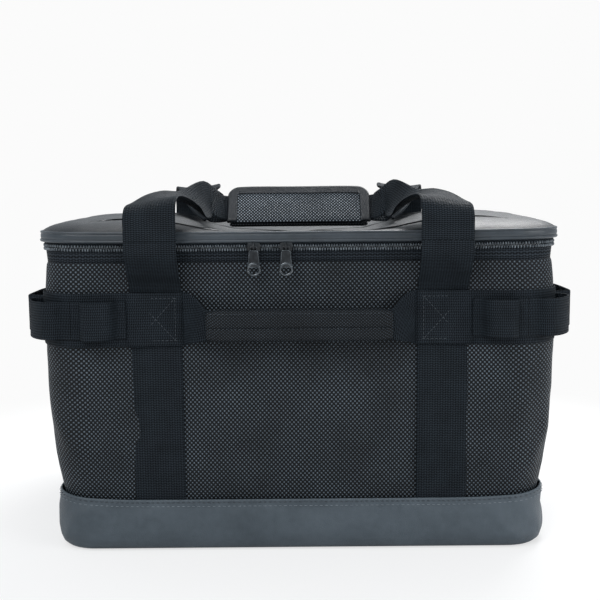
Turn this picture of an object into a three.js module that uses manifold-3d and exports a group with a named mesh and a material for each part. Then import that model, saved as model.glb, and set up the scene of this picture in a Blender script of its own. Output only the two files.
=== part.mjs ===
// Insulated food carrier: a soft, box-shaped cooler bag with a padded zip lid, two long carry
// straps that meet in a padded wrap over the lid, grab grips front and rear, and webbing loops.
// Millimetres, +Z up, the front faces -Y, and the origin is the middle of the underside.

import * as THREE from "three";
import { mergeVertices } from "three/addons/utils/BufferGeometryUtils.js";
import Module from "manifold-3d";

const wasm = await Module();
wasm.setup();

// Overall body.
const bagWidth = 420;
const bagDepth = 288;
const panelTop = 255;
const cornerRadius = 30;
const cornerSteps = 6;
const fit = 0.3; // clearance between neighbouring pieces

// Shell, boot and insulation.
const panelThickness = 1.6;
const foamThickness = 8;
const linerThickness = 0.8;
const boardThickness = 3;
const bootFloor = 2;
const bootHeight = 46;
const bootBulge = 6;
const bootWall = 1.8;

// Webbing.
const webThickness = 1.7;
const strapWidth = 43;
const strapSpacing = 242; // centre to centre of the two vertical straps
const strapLowEnd = 38;
const strapReleaseHeight = 227; // the strap leaves the bag above its last stitching
const strapStandOff = 28.2;
const crestHeight = 276.65;
const bandBottom = 180;
const bandHeight = 46;
const loopWebWidth = 32;
const smallLoopRise = 10;
const sideLoopRise = 22;
const loopFoot = 6;

// Rim, zip and lid.
const rimThickness = 2.7;
const rimOverhang = 1.7;
const tapeThickness = 0.8;
const coilHeight = 3;
const coilDepth = 2.9;
const zipLineRise = 5.85; // from the top of the rim to the line where the zip parts
const tapeClear = 0.95;
const coilClear = 1.1;
const zipEndAlong = 440; // half length of the zip, measured round the outline from the front middle
const pipingHeight = 2.8;
const pipingDepth = 3.5;
const gussetHeight = 4;
const lidOverhang = 7;
const lidPanelThickness = 1.2;
const lidFoamInset = -1.6;
const lidDishDepth = 6;

// Carry wrap.
const wrapLength = 134;
const wrapTilt = THREE.MathUtils.degToRad(50);
const wrapHalfHeight = 21;
const wrapPadding = 3;
const wrapHeight = 291.5;
const strapWidthInWrap = 30;
const carrySteps = 56; // sections in each half of a carry strap
const bindingWidth = 9;
const bindingThickness = 1;

// Grab grips.
const gripStandOff = 16;
const gripWebWidth = 25;
const gripSleeveLength = 155;
const gripSleeveDepth = 8;
const gripSleeveWall = 1.1;
const gripHeight = 198.5;
const gripReach = 90;
const gripFoot = 10;

// Zip sliders and pulls.
const sliderWidth = 10;
const sliderHeight = 8;
const sliderPlate = 1.2;
const leftSliderX = -37.6;
const rightSliderX = -10.7;
const pullLength = 24.5;
const pullTopWidth = 7.6;
const pullBottomWidth = 11.6;
const pullThickness = 1.6;
const bailInnerRadius = 1.15;
const bailOuterRadius = 2.2;

// D-rings.
const ringWidth = 32;
const ringDrop = 26;
const ringBar = 3;
const ringTabWidth = 24;
const ringTabTop = 240.7;

// Heights and offsets that follow from the sizes above.
const halfWidth = bagWidth / 2;
const halfDepth = bagDepth / 2;
const rimTop = panelTop + fit + rimThickness;
const zipLine = rimTop + zipLineRise;
const tapeInner = rimOverhang + fit;
const tapeOuter = tapeInner + tapeThickness;
const coilInner = tapeOuter + fit;
const coilOuter = coilInner + coilDepth;
const upperCoilTop = zipLine + coilClear + coilHeight;
const pipingBottom = upperCoilTop + fit;
const pipingTop = pipingBottom + pipingHeight;
const gussetBottom = pipingTop + fit;
const gussetTop = gussetBottom + gussetHeight;
const lidPanelBottom = gussetTop + fit;
const lidPanelTop = lidPanelBottom + lidPanelThickness;
const strapX = strapSpacing / 2;
const strapOnPanel = fit + webThickness / 2; // offset of a webbing layer's middle on the shell
const webStep = webThickness + fit;
const boardBottom = bootFloor + fit;
const foamBottom = boardBottom + boardThickness + fit;
const foamTop = foamBottom + foamThickness;
const wallFoamOuter = panelThickness + fit;
const liningOffset = wallFoamOuter + foamThickness + fit;

const group = new THREE.Group();

// ---------------------------------------------------------------- helpers

function cloth(color, roughness) {
  return new THREE.MeshStandardMaterial({ color, roughness, metalness: 0 });
}

const nylon = () => cloth(0x242b31, 0.75);
const leather = () => cloth(0x4e575e, 0.5);
const webbing = () => cloth(0x1d2227, 0.85);
const foam = () => cloth(0xd9dcde, 0.95);
const lining = () => cloth(0xaeb4b8, 0.35);
const plastic = () => cloth(0x1a1d20, 0.4);
const metal = () => new THREE.MeshStandardMaterial({ color: 0x8f969b, roughness: 0.25, metalness: 1 });

function add(name, geometry, material, parent = group) {
  const mesh = new THREE.Mesh(geometry, material);
  mesh.name = name;
  parent.add(mesh);
  return mesh;
}

// Builds one closed solid from rings of equal point count; flips it if it came out inside out.
function loft(rings, closed = false) {
  const count = rings[0].length;
  const positions = rings.flat().flatMap((point) => [point.x, point.y, point.z]);
  const index = [];
  const spans = closed ? rings.length : rings.length - 1;
  for (let ring = 0; ring < spans; ring += 1) {
    const here = ring * count;
    const next = ((ring + 1) % rings.length) * count;
    for (let k = 0; k < count; k += 1) {
      const after = (k + 1) % count;
      index.push(here + k, here + after, next + after);
      index.push(here + k, next + after, next + k);
    }
  }
  if (!closed) {
    const last = (rings.length - 1) * count;
    const cap = (first, reversed) => {
      const middle = new THREE.Vector3();
      for (let k = 0; k < count; k += 1) {
        middle.add(rings[first / count][k]);
      }
      middle.divideScalar(count);
      const centre = positions.length / 3;
      positions.push(middle.x, middle.y, middle.z);
      for (let k = 0; k < count; k += 1) {
        const after = (k + 1) % count;
        index.push(centre, first + (reversed ? after : k), first + (reversed ? k : after));
      }
    };
    cap(0, true);
    cap(last, false);
  }
  let volume = 0;
  const corner = (i) => new THREE.Vector3().fromArray(positions, 3 * index[i]);
  for (let i = 0; i < index.length; i += 3) {
    volume += corner(i).dot(corner(i + 1).cross(corner(i + 2)));
  }
  if (volume < 0) {
    index.reverse();
  }
  const geometry = new THREE.BufferGeometry();
  geometry.setAttribute("position", new THREE.Float32BufferAttribute(positions, 3));
  geometry.setIndex(index);
  geometry.computeVertexNormals();
  return geometry;
}

// The body's rounded-rectangle plan outline, moved outwards by an offset.
function outline(offset, z) {
  const radius = Math.max(cornerRadius + offset, 1);
  const centreX = halfWidth + offset - radius;
  const centreY = halfDepth + offset - radius;
  const signs = [[1, -1], [1, 1], [-1, 1], [-1, -1]];
  const points = [];
  signs.forEach(([sx, sy], corner) => {
    for (let step = 0; step <= cornerSteps; step += 1) {
      const angle = (corner - 1 + step / cornerSteps) * (Math.PI / 2);
      const x = sx * centreX + radius * Math.cos(angle);
      const y = sy * centreY + radius * Math.sin(angle);
      points.push(new THREE.Vector3(x, y, z));
    }
  });
  return points;
}

const stackLevels = (levels) => loft(levels.map(([offset, z]) => outline(offset, z)));

// Distance along the outline runs from the front middle towards +X and on round the bag.
const frontStraight = halfWidth - cornerRadius;
const cornerLength = (cornerRadius * Math.PI) / 2;
const sideStraight = bagDepth - 2 * cornerRadius;
const breaks = [frontStraight, frontStraight + cornerLength];
breaks.push(breaks[1] + sideStraight, breaks[1] + sideStraight + cornerLength);
const halfRound = breaks[3] + frontStraight;

function along(distance, offset) {
  const turn = ((distance + halfRound) % (2 * halfRound) + 2 * halfRound) % (2 * halfRound);
  const signed = turn - halfRound;
  const side = signed < 0 ? -1 : 1;
  const d = Math.abs(signed);
  const innerX = halfWidth - cornerRadius;
  const innerY = halfDepth - cornerRadius;
  const reach = cornerRadius + offset;
  let x = d;
  let y = -halfDepth - offset;
  if (d > breaks[3]) {
    x = halfRound - d;
    y = halfDepth + offset;
  } else if (d > breaks[2]) {
    const angle = (d - breaks[2]) / cornerRadius;
    x = innerX + reach * Math.cos(angle);
    y = innerY + reach * Math.sin(angle);
  } else if (d > breaks[1]) {
    x = halfWidth + offset;
    y = -innerY + d - breaks[1];
  } else if (d > breaks[0]) {
    const angle = (d - breaks[0]) / cornerRadius - Math.PI / 2;
    x = innerX + reach * Math.cos(angle);
    y = -innerY + reach * Math.sin(angle);
  }
  return new THREE.Vector2(side * x, y);
}

// Distances at which a run from one place on the outline to another needs a point.
function stations(from, to) {
  const marks = new Set([from, to]);
  for (let lap = -1; lap <= 1; lap += 1) {
    for (const side of [-1, 1]) {
      for (const start of [breaks[0], breaks[2]]) {
        for (let step = 0; step <= cornerSteps; step += 1) {
          const mark = lap * 2 * halfRound + side * (start + (cornerLength * step) / cornerSteps);
          if (mark > from + 0.5 && mark < to - 0.5) {
            marks.add(mark);
          }
        }
      }
    }
  }
  return [...marks].sort((a, b) => a - b);
}

// A bar of constant section that follows the outline; the section is [offset, z] pairs.
function followOutline(section, from, to) {
  const rings = stations(from, to).map((distance) =>
    section.map(([offset, z]) => {
      const plan = along(distance, offset);
      return new THREE.Vector3(plan.x, plan.y, z);
    }),
  );
  return loft(rings);
}

function ringRound(section) {
  const rings = section.map(([offset, z]) => outline(offset, z));
  return loft(rings, true);
}

function box(inner, outer, bottom, top) {
  return [[inner, bottom], [outer, bottom], [outer, top], [inner, top]];
}

// Turns a centre line into a closed strip outline of even thickness.
function thicken(points, thickness) {
  const left = [];
  const right = [];
  points.forEach((point, i) => {
    const before = points[Math.max(i - 1, 0)];
    const after = points[Math.min(i + 1, points.length - 1)];
    const into = point.clone().sub(before).normalize();
    const out = after.clone().sub(point).normalize();
    const direction = into.add(out).normalize();
    const normal = new THREE.Vector2(-direction.y, direction.x);
    const bend = Math.max(Math.abs(direction.dot(out.lengthSq() > 0 ? out : direction)), 0.6);
    const half = thickness / 2 / (i > 0 && i < points.length - 1 ? bend : 1);
    left.push(point.clone().addScaledVector(normal, half));
    right.unshift(point.clone().addScaledVector(normal, -half));
  });
  return [...left, ...right];
}

function extrude(points, depth, holes = []) {
  const ordered = THREE.ShapeUtils.isClockWise(points) ? [...points].reverse() : points;
  const shape = new THREE.Shape(ordered);
  shape.holes = holes.map((hole) => new THREE.Path(hole));
  return new THREE.ExtrudeGeometry(shape, { depth, bevelEnabled: false, curveSegments: 8 });
}

function extrudeUp(points, bottom, top) {
  return extrude(points, top - bottom).translate(0, 0, bottom);
}

// Extrudes a (y, z) outline along X.
function extrudeAcross(points, fromX, toX, holes = []) {
  const turn = new THREE.Matrix4().set(0, 0, 1, fromX, 1, 0, 0, 0, 0, 1, 0, 0, 0, 0, 0, 1);
  return extrude(points, toX - fromX, holes).applyMatrix4(turn);
}

function block(fromX, toX, fromY, toY, fromZ, toZ) {
  const geometry = new THREE.BoxGeometry(toX - fromX, toY - fromY, toZ - fromZ);
  return geometry.translate((fromX + toX) / 2, (fromY + toY) / 2, (fromZ + toZ) / 2);
}

// A webbing layer that follows the outline through [distance, offset] points.
function webbingRound(points, bottom, top, mirrored) {
  const filled = [];
  points.forEach(([distance, offset], i) => {
    filled.push(along(distance, offset));
    if (i + 1 < points.length) {
      const [nextDistance, nextOffset] = points[i + 1];
      for (const mark of stations(distance, nextDistance).slice(1, -1)) {
        const share = (mark - distance) / (nextDistance - distance);
        filled.push(along(mark, offset + share * (nextOffset - offset)));
      }
    }
  });
  const placed = mirrored ? filled.map((point) => new THREE.Vector2(-point.x, point.y)) : filled;
  return extrudeUp(thicken(placed, webThickness), bottom, top);
}

// A flat ribbon through stations of [x, y, z, width direction x, y, z, width], then straight
// across to its mirror image on the other side.
function mirroredRibbon(list, steps) {
  const path = new THREE.CatmullRomCurve3(list.map((s) => new THREE.Vector3(s[0], s[1], s[2])));
  const lean = new THREE.CatmullRomCurve3(list.map((s) => new THREE.Vector3(s[3], s[4], s[5])));
  lean.curveType = "catmullrom";
  path.curveType = "catmullrom";
  const rings = [];
  for (let i = 0; i <= steps; i += 1) {
    const t = i / steps;
    const place = path.getPoint(t);
    const forward = path.getTangent(t);
    const wide = lean.getPoint(t);
    wide.addScaledVector(forward, -wide.dot(forward)).normalize();
    const face = forward.clone().cross(wide).normalize();
    const span = t * (list.length - 1);
    const low = Math.min(Math.floor(span), list.length - 2);
    const width = THREE.MathUtils.lerp(list[low][6], list[low + 1][6], span - low);
    const ring = [[-1, -1], [1, -1], [1, 1], [-1, 1]].map(([w, f]) =>
      place.clone().addScaledVector(wide, (w * width) / 2).addScaledVector(face, (f * webThickness) / 2),
    );
    rings.push(ring);
  }
  const flip = new THREE.Vector3(-1, 1, 1);
  const other = rings.map((ring) => ring.map((point) => point.clone().multiply(flip))).reverse();
  return loft([...rings, ...other]);
}

function toManifold(geometry) {
  const plain = geometry.clone();
  plain.deleteAttribute("normal");
  plain.deleteAttribute("uv");
  const merged = mergeVertices(plain, 1e-4);
  const vertProperties = new Float32Array(merged.attributes.position.array);
  const triVerts = new Uint32Array(merged.index.array);
  return new wasm.Manifold(new wasm.Mesh({ numProp: 3, vertProperties, triVerts }));
}

function fromManifold(solid) {
  const mesh = solid.getMesh();
  const geometry = new THREE.BufferGeometry();
  geometry.setAttribute("position", new THREE.Float32BufferAttribute(mesh.vertProperties, 3));
  geometry.setIndex([...mesh.triVerts]);
  geometry.computeVertexNormals();
  return geometry;
}

// ---------------------------------------------------------------- shell and boot

function buildShell() {
  for (const [name, from, to] of [
    ["front_panel", -breaks[1], breaks[1]],
    ["back_panel", breaks[2], 2 * halfRound - breaks[2]],
    ["right_side_panel", breaks[1] + fit, breaks[2] - fit],
    ["left_side_panel", -breaks[2] + fit, -breaks[1] - fit],
  ]) {
    add(name, followOutline(box(-panelThickness, 0, boardBottom, panelTop), from, to), nylon());
  }
  const inside = fit * 2 + webThickness;
  const levels = [
    [-2, 0],
    [bootBulge - 2.6, 1.2],
    [bootBulge - 1.2, 4.5],
    [bootBulge, bootHeight * 0.33],
    [bootBulge - 0.4, bootHeight * 0.66],
    [inside + bootWall, bootHeight],
    [inside, bootHeight],
    [inside, bootFloor],
  ];
  add("base_boot", stackLevels(levels), leather());
}

function buildInsulation() {
  const tray = -wallFoamOuter;
  add("base_board", stackLevels([[tray, boardBottom], [tray, boardBottom + boardThickness]]), plastic());
  add("foam_bottom", stackLevels([[tray, foamBottom], [tray, foamTop]]), foam());
  const bottom = foamTop + fit;
  const reachX = halfWidth - cornerRadius - 2;
  const reachY = halfDepth - cornerRadius - 2;
  const outerX = halfWidth - wallFoamOuter;
  const outerY = halfDepth - wallFoamOuter;
  const innerX = outerX - foamThickness;
  const innerY = outerY - foamThickness;
  add("foam_front", block(-reachX, reachX, -outerY, -innerY, bottom, panelTop), foam());
  add("foam_back", block(-reachX, reachX, innerY, outerY, bottom, panelTop), foam());
  add("foam_left", block(-outerX, -innerX, -reachY, reachY, bottom, panelTop), foam());
  add("foam_right", block(innerX, outerX, -reachY, reachY, bottom, panelTop), foam());
  const liner = [
    [-liningOffset, bottom],
    [-liningOffset, panelTop],
    [-liningOffset - linerThickness, panelTop],
    [-liningOffset - linerThickness, bottom + linerThickness],
  ];
  add("liner_tub", stackLevels(liner), lining());
}

// ---------------------------------------------------------------- rim, zip and lid

function buildRimAndZip() {
  const inner = -liningOffset - linerThickness;
  add("rim_binding", ringRound(box(inner, rimOverhang, panelTop + fit, rimTop)), webbing());
  const tapeBottom = panelTop + fit;
  const tape = box(tapeInner, tapeOuter, tapeBottom, zipLine - tapeClear);
  const tapeEnd = zipEndAlong + 8;
  const coil = box(coilInner, coilOuter, zipLine - coilClear - coilHeight, zipLine - coilClear);
  add("lower_zip_tape", followOutline(tape, -tapeEnd, tapeEnd), webbing());
  add("lower_zip_coil", followOutline(coil, -zipEndAlong, zipEndAlong), plastic());
  const hingeStart = tapeEnd + fit;
  add("lid_hinge_strip", followOutline(tape, hingeStart, 2 * halfRound - hingeStart), nylon());
}

function buildLid() {
  const upperTape = box(tapeInner, tapeOuter, zipLine + tapeClear, pipingTop);
  const upperCoil = box(coilInner, coilOuter, zipLine + coilClear, upperCoilTop);
  const piping = box(coilInner, coilInner + pipingDepth, pipingBottom, pipingTop);
  const gusset = box(lidOverhang - panelThickness, lidOverhang, gussetBottom, gussetTop);
  add("upper_zip_tape", ringRound(upperTape), webbing());
  add("upper_zip_coil", followOutline(upperCoil, -zipEndAlong, zipEndAlong), plastic());
  add("lid_piping", ringRound(piping), leather());
  add("lid_gusset", ringRound(gusset), leather());
  const dish = [[lidOverhang, 0], [-25, 0.6 * lidDishDepth], [-60, lidDishDepth]];
  const under = dish.map(([offset, drop]) => [offset, lidPanelBottom - drop]).reverse();
  const over = dish.map(([offset, drop]) => [offset, lidPanelTop - drop]);
  add("lid_top_panel", stackLevels([...under, ...over]), leather());
  const linerBottom = rimTop + fit;
  const linerTop = linerBottom + linerThickness;
  add("lid_liner", stackLevels([[lidFoamInset, linerBottom], [lidFoamInset, linerTop]]), lining());
  const shoulder = lidOverhang - panelThickness - fit;
  const foamLevels = [
    [lidFoamInset, linerTop + fit],
    [lidFoamInset, gussetBottom],
    [shoulder, gussetBottom],
    [shoulder, gussetTop - fit],
    [dish[1][0], lidPanelBottom - dish[1][1] - fit],
    [dish[2][0], lidPanelBottom - dish[2][1] - fit],
  ];
  add("lid_foam", stackLevels(foamLevels), foam());
}

// ---------------------------------------------------------------- vertical straps

// The stitched run of a strap and the free leg that bows out past the lid.
function strapLeg(facing) {
  const start = strapOnPanel;
  const climb = crestHeight - strapReleaseHeight;
  const profile = [
    [start, strapLowEnd],
    [start, strapReleaseHeight],
    [start + 0.18 * strapStandOff, strapReleaseHeight + 0.12 * climb],
    [start + 0.57 * strapStandOff, strapReleaseHeight + 0.26 * climb],
    [strapStandOff - 2.6, strapReleaseHeight + 0.46 * climb],
    [strapStandOff, strapReleaseHeight + 0.7 * climb],
    [strapStandOff, crestHeight - fit],
  ];
  const points = profile.map(([offset, z]) => new THREE.Vector2(facing * (halfDepth + offset), z));
  return thicken(points, webThickness);
}

function buildStraps() {
  for (const [end, facing] of [["front", -1], ["rear", 1]]) {
    for (const [side, sign] of [["left", -1], ["right", 1]]) {
      const from = sign * strapX - strapWidth / 2;
      const leg = extrudeAcross(strapLeg(facing), from, from + strapWidth);
      add(`${end}_${side}_strap`, leg, webbing());
    }
  }
}

// ---------------------------------------------------------------- bands and loops

function buildBandsAndLoops() {
  const edge = strapX + strapWidth / 2;
  const onStrap = strapOnPanel + webStep;
  const band = [
    [gripReach, gripFoot],
    [gripReach + 6, onStrap + 2],
    [gripReach + 11, onStrap],
    [edge + 0.7, onStrap],
    [edge + 5, strapOnPanel],
  ];
  const rear = band.map(([distance, offset]) => [halfRound - distance, offset]).reverse();
  const bandTop = bandBottom + bandHeight;
  const loopBottom = bandBottom + (bandHeight - loopWebWidth) / 2;
  const loopTop = loopBottom + loopWebWidth;
  const sideMiddle = (breaks[1] + breaks[2]) / 2;
  const loops = [
    ["front_loop", edge + 6.5, edge + 44.5, smallLoopRise],
    ["front_corner_loop", breaks[0] + 8, breaks[1] + 3, smallLoopRise],
    ["side_front_loop", breaks[1] + 7, sideMiddle - 30, sideLoopRise],
  ];
  const foot = strapOnPanel + webStep;
  const arch = (from, to, rise) => [
    [from, foot],
    [from + loopFoot, foot],
    [from + loopFoot + 2, foot + 0.7 * rise],
    [from + loopFoot + 6, foot + rise],
    [to - loopFoot - 6, foot + rise],
    [to - loopFoot - 2, foot + 0.7 * rise],
    [to - loopFoot, foot],
    [to, foot],
  ];
  for (const [end, mirrored] of [["left", true], ["right", false]]) {
    add(`${end}_end_band`, webbingRound([...band, ...rear], bandBottom, bandTop, mirrored), webbing());
    for (const [name, from, to, rise] of loops) {
      const front = arch(from, to, rise);
      const back = front.map(([distance, offset]) => [halfRound - distance, offset]).reverse();
      add(`${end}_${name}`, webbingRound(front, loopBottom, loopTop, mirrored), webbing());
      const rearName = name.replace("front", "rear");
      add(`${end}_${rearName}`, webbingRound(back, loopBottom, loopTop, mirrored), webbing());
    }
  }
}

// ---------------------------------------------------------------- carry straps and wrap

// Stations of one carry strap's left half, from its crest into the wrap. The two
// straps lie face to face in the wrap, the front one on the side that faces the front.
function carryStations(facing) {
  const crestY = facing * (halfDepth + strapStandOff);
  const crestTop = crestHeight + fit;
  const lift = facing < 0 ? 0 : 1;
  const up = [Math.cos(wrapTilt), Math.sin(wrapTilt)];
  const wrapEnd = -wrapLength / 2;
  const inWrap = (x, depth, width, rise = 0) => {
    const v = -facing * depth;
    const z = wrapHeight + v * up[0] + lift * rise;
    return [x, -v * up[1], z, 0, up[0], up[1], width * strapWidthInWrap];
  };
  const layer = (webThickness + fit) / 2;
  return [
    [-strapX, crestY, crestTop, facing, 0, 0, strapWidth],
    [-strapX, crestY * 0.998, crestTop + 11.5, facing, 0, -0.1, strapWidth],
    [-strapX + 0.5, crestY * 0.97, crestTop + 21.5 + 2 * lift, facing, 0, -0.15, strapWidth],
    [-strapX + 3, crestY * 0.9, crestTop + 27 + 5 * lift, facing, 0.05, -0.15, strapWidth],
    [-strapX + 9, crestY * 0.74, crestTop + 28 + 7 * lift, 0.9 * facing, 0.25, 0.05, strapWidth],
    [-strapX + 16, crestY * 0.53, crestTop + 26 + 7 * lift, 0.75 * facing, 0.42, 0.3, strapWidth],
    [-strapX + 24, crestY * 0.31, crestTop + 21 + 4 * lift, 0.5 * facing, 0.53, 0.55, 0.85 * strapWidth],
    inWrap(wrapEnd - 21, 17, 1.1, 14),
    inWrap(wrapEnd - 13, 6, 1, 3),
    inWrap(wrapEnd - 7, 2, 1),
    inWrap(wrapEnd - 2, layer, 1),
    inWrap(wrapEnd + 3, layer, 1),
  ];
}

function buildCarryStraps() {
  add("front_carry_strap", mirroredRibbon(carryStations(-1), carrySteps), webbing());
  add("rear_carry_strap", mirroredRibbon(carryStations(1), carrySteps), webbing());
  const wrap = new THREE.Group();
  wrap.position.set(0, 0, wrapHeight);
  wrap.rotation.x = wrapTilt;
  group.add(wrap);
  const half = wrapLength / 2;
  const strapFace = webThickness + fit / 2;
  const backMiddle = -strapFace - fit - wrapPadding / 2;
  const fold = -wrapHalfHeight + wrapPadding / 2;
  const hook = [
    [wrapHalfHeight, backMiddle],
    [fold + 4, backMiddle],
    [fold + 0.6, backMiddle + 1.6],
    [fold, backMiddle + 4],
    [fold, strapFace],
  ].map(([u, v]) => new THREE.Vector2(u, v));
  add("wrap_back_panel", extrudeAcross(thicken(hook, wrapPadding), -half, half), nylon(), wrap);
  const flapInner = strapFace + fit + 0.1;
  const flapOuter = flapInner + wrapPadding;
  const flap = block(-half, half, -wrapHalfHeight, wrapHalfHeight, flapInner, flapOuter);
  add("wrap_flap_panel", flap, nylon(), wrap);
  const frame = roundedFrame(half + 2, wrapHalfHeight);
  const edge = extrude(frame, bindingThickness).translate(0, 0, flapOuter + fit);
  add("wrap_flap_binding", edge, leather(), wrap);
}

// The binding's outline: up one end, round the top corners and down the other, as a strip.
function roundedFrame(halfLength, halfHeight) {
  const points = [];
  const radius = 12;
  const line = (inset) => {
    const r = radius - inset;
    const turn = [];
    turn.push(new THREE.Vector2(halfLength - inset, -halfHeight));
    for (let step = 0; step <= cornerSteps; step += 1) {
      const angle = (step / cornerSteps) * (Math.PI / 2);
      const x = halfLength - radius + r * Math.cos(angle);
      turn.push(new THREE.Vector2(x, halfHeight + 2 - radius + r * Math.sin(angle)));
    }
    const other = turn.map((point) => new THREE.Vector2(-point.x, point.y)).reverse();
    return [...turn, ...other];
  };
  points.push(...line(0), ...line(bindingWidth).reverse());
  return points;
}

// ---------------------------------------------------------------- grab grips

function buildGrips() {
  const half = gripSleeveLength / 2;
  const end = gripReach - webThickness / 2 - fit; // swings clear of the band's folded end
  const line = [
    [-end, gripFoot],
    [-half - 6, gripStandOff - 2.6],
    [-half - 1.5, gripStandOff],
    [half + 1.5, gripStandOff],
    [half + 6, gripStandOff - 2.6],
    [end, gripFoot],
  ];
  for (const [name, facing] of [["front", -1], ["rear", 1]]) {
    const plan = line.map(([x, offset]) => new THREE.Vector2(x, facing * (halfDepth + offset)));
    const bottom = gripHeight - gripWebWidth / 2;
    const web = extrudeUp(thicken(plan, webThickness), bottom, bottom + gripWebWidth);
    add(`${name}_grip_webbing`, web, webbing());
    const middle = facing * (halfDepth + gripStandOff);
    const ring = (halfY, halfZ, chamfer) => [
      [-halfY, -halfZ + chamfer], [-halfY + chamfer, -halfZ],
      [halfY - chamfer, -halfZ], [halfY, -halfZ + chamfer],
      [halfY, halfZ - chamfer], [halfY - chamfer, halfZ],
      [-halfY + chamfer, halfZ], [-halfY, halfZ - chamfer],
    ].map(([y, z]) => new THREE.Vector2(middle + y, gripHeight + z));
    const holeY = webThickness / 2 + fit;
    const holeZ = gripWebWidth / 2 + fit;
    const outer = ring(gripSleeveDepth / 2, holeZ + gripSleeveWall, gripSleeveDepth / 4);
    const hole = ring(holeY, holeZ, 0.1);
    add(`${name}_grip_sleeve`, extrudeAcross(outer, -half, half, [hole]), nylon());
  }
}

// ---------------------------------------------------------------- sliders and pulls

function buildSliders() {
  const plateInner = coilOuter + fit;
  const plateOuter = plateInner + sliderPlate;
  const axisOffset = plateOuter + bailOuterRadius + 0.5;
  const face = (offset) => -halfDepth - offset;
  for (const [side, x] of [["left", leftSliderX], ["right", rightSliderX]]) {
    const left = x - sliderWidth / 2;
    const right = x + sliderWidth / 2;
    const low = zipLine - sliderHeight / 2;
    const high = zipLine + sliderHeight / 2;
    const backOuter = tapeInner - fit - 0.1;
    const front = block(left, right, face(plateOuter), face(plateInner), low, high);
    const back = block(left, right, face(backOuter), face(backOuter - sliderPlate), low, high);
    const wedgeTop = zipLine + tapeClear / 2;
    const wedgeLow = zipLine - tapeClear / 2;
    const wedge = block(x - 2.5, x + 2.5, face(plateInner + 0.3), face(backOuter - 0.3), wedgeLow, wedgeTop);
    const eye = new THREE.LatheGeometry(bailProfile(), 12).rotateZ(Math.PI / 2);
    eye.translate(x, face(axisOffset), zipLine);
    const stemIn = face(plateOuter - 0.3);
    const stemOut = face(axisOffset - bailInnerRadius - 0.35);
    const stem = block(x - 1.1, x + 1.1, stemOut, stemIn, zipLine - 1.1, zipLine + 1.1);
    let solid = toManifold(front);
    for (const piece of [back, wedge, eye, stem]) {
      solid = solid.add(toManifold(piece));
    }
    add(`${side}_slider`, fromManifold(solid), metal());
    add(`${side}_pull`, pullShape().translate(x, face(axisOffset), zipLine), metal());
  }
}

// Closed section of the bail's eye, turned round its own axis.
function bailProfile() {
  const half = 1.1;
  const points = [
    [bailInnerRadius, -half],
    [bailOuterRadius, -half],
    [bailOuterRadius, half],
    [bailInnerRadius, half],
    [bailInnerRadius, -half],
  ];
  return points.map(([x, y]) => new THREE.Vector2(x, y));
}

// A tapered pull that hangs from its own crossbar, with a window for the bail and a ring end.
function pullShape() {
  const bar = 0.75;
  const top = bar;
  const bottom = top - pullLength;
  const radius = pullBottomWidth / 2;
  const shape = [new THREE.Vector2(pullTopWidth / 2, top), new THREE.Vector2(-pullTopWidth / 2, top)];
  for (let step = 0; step <= 8; step += 1) {
    const angle = Math.PI + (step / 8) * Math.PI;
    const x = radius * Math.cos(angle);
    shape.push(new THREE.Vector2(x, bottom + radius + radius * Math.sin(angle)));
  }
  const windowHalf = pullTopWidth / 2 - 1.4;
  const window = [[-windowHalf, -5.2], [-windowHalf, -bar], [windowHalf, -bar], [windowHalf, -5.2]];
  const eye = [];
  for (let step = 0; step < 10; step += 1) {
    const angle = -(step / 10) * 2 * Math.PI;
    const place = new THREE.Vector2(Math.cos(angle), Math.sin(angle)).multiplyScalar(radius - 2);
    eye.push(place.add(new THREE.Vector2(0, bottom + radius)));
  }
  const slot = window.map(([x, y]) => new THREE.Vector2(x, y));
  const plate = extrude(shape, pullThickness - 0.1, [slot, eye]);
  return plate.translate(0, 0, -(pullThickness - 0.1) / 2).rotateX(Math.PI / 2);
}

// ---------------------------------------------------------------- D-rings

function buildRings() {
  const thin = webThickness * 0.8;
  const reach = ringBar / 2 + 2;
  const barOffset = fit + thin + reach;
  const curl = [
    [fit + thin / 2, ringTabTop - 12],
    [fit + thin / 2, ringTabTop],
    [barOffset - 0.66 * reach, ringTabTop + 0.78 * reach],
    [barOffset, ringTabTop + 1.1 * reach],
    [barOffset + 0.66 * reach, ringTabTop + 0.78 * reach],
    [barOffset + reach, ringTabTop],
    [barOffset + 0.66 * reach, ringTabTop - 0.9 * reach],
    [fit + 2 * thin, ringTabTop - 1.7 * reach],
  ];
  for (const [side, sign] of [["left", -1], ["right", 1]]) {
    const profile = curl.map(([offset, z]) => new THREE.Vector2(halfWidth + offset, z));
    const tab = extrude(thicken(profile, thin), ringTabWidth).translate(0, 0, -ringTabWidth / 2);
    tab.rotateX(Math.PI / 2);
    if (sign < 0) {
      tab.rotateZ(Math.PI);
    }
    add(`${side}_ring_tab`, tab, webbing());
    const ring = ringShape().rotateX(Math.PI / 2).rotateZ(Math.PI / 2);
    ring.translate(sign * (halfWidth + barOffset), 0, ringTabTop);
    add(`${side}_ring`, ring, metal());
  }
}

// A D-shaped ring: a straight bar with an arc below it.
function ringShape() {
  const arcHeight = -(ringDrop - ringWidth / 2 - ringBar / 2);
  const dee = (half, top) => {
    const points = [new THREE.Vector2(half, top), new THREE.Vector2(-half, top)];
    for (let step = 0; step <= 10; step += 1) {
      const angle = Math.PI + (step / 10) * Math.PI;
      points.push(new THREE.Vector2(half * Math.cos(angle), arcHeight + half * Math.sin(angle)));
    }
    return points;
  };
  const outer = dee(ringWidth / 2, ringBar / 2);
  const inner = dee(ringWidth / 2 - ringBar, -ringBar / 2);
  return extrude(outer, ringBar, [inner]).translate(0, 0, -ringBar / 2);
}

buildShell();
buildInsulation();
buildRimAndZip();
buildLid();
buildStraps();
buildBandsAndLoops();
buildCarryStraps();
buildGrips();
buildSliders();
buildRings();

export default group;
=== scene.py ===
import math

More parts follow.
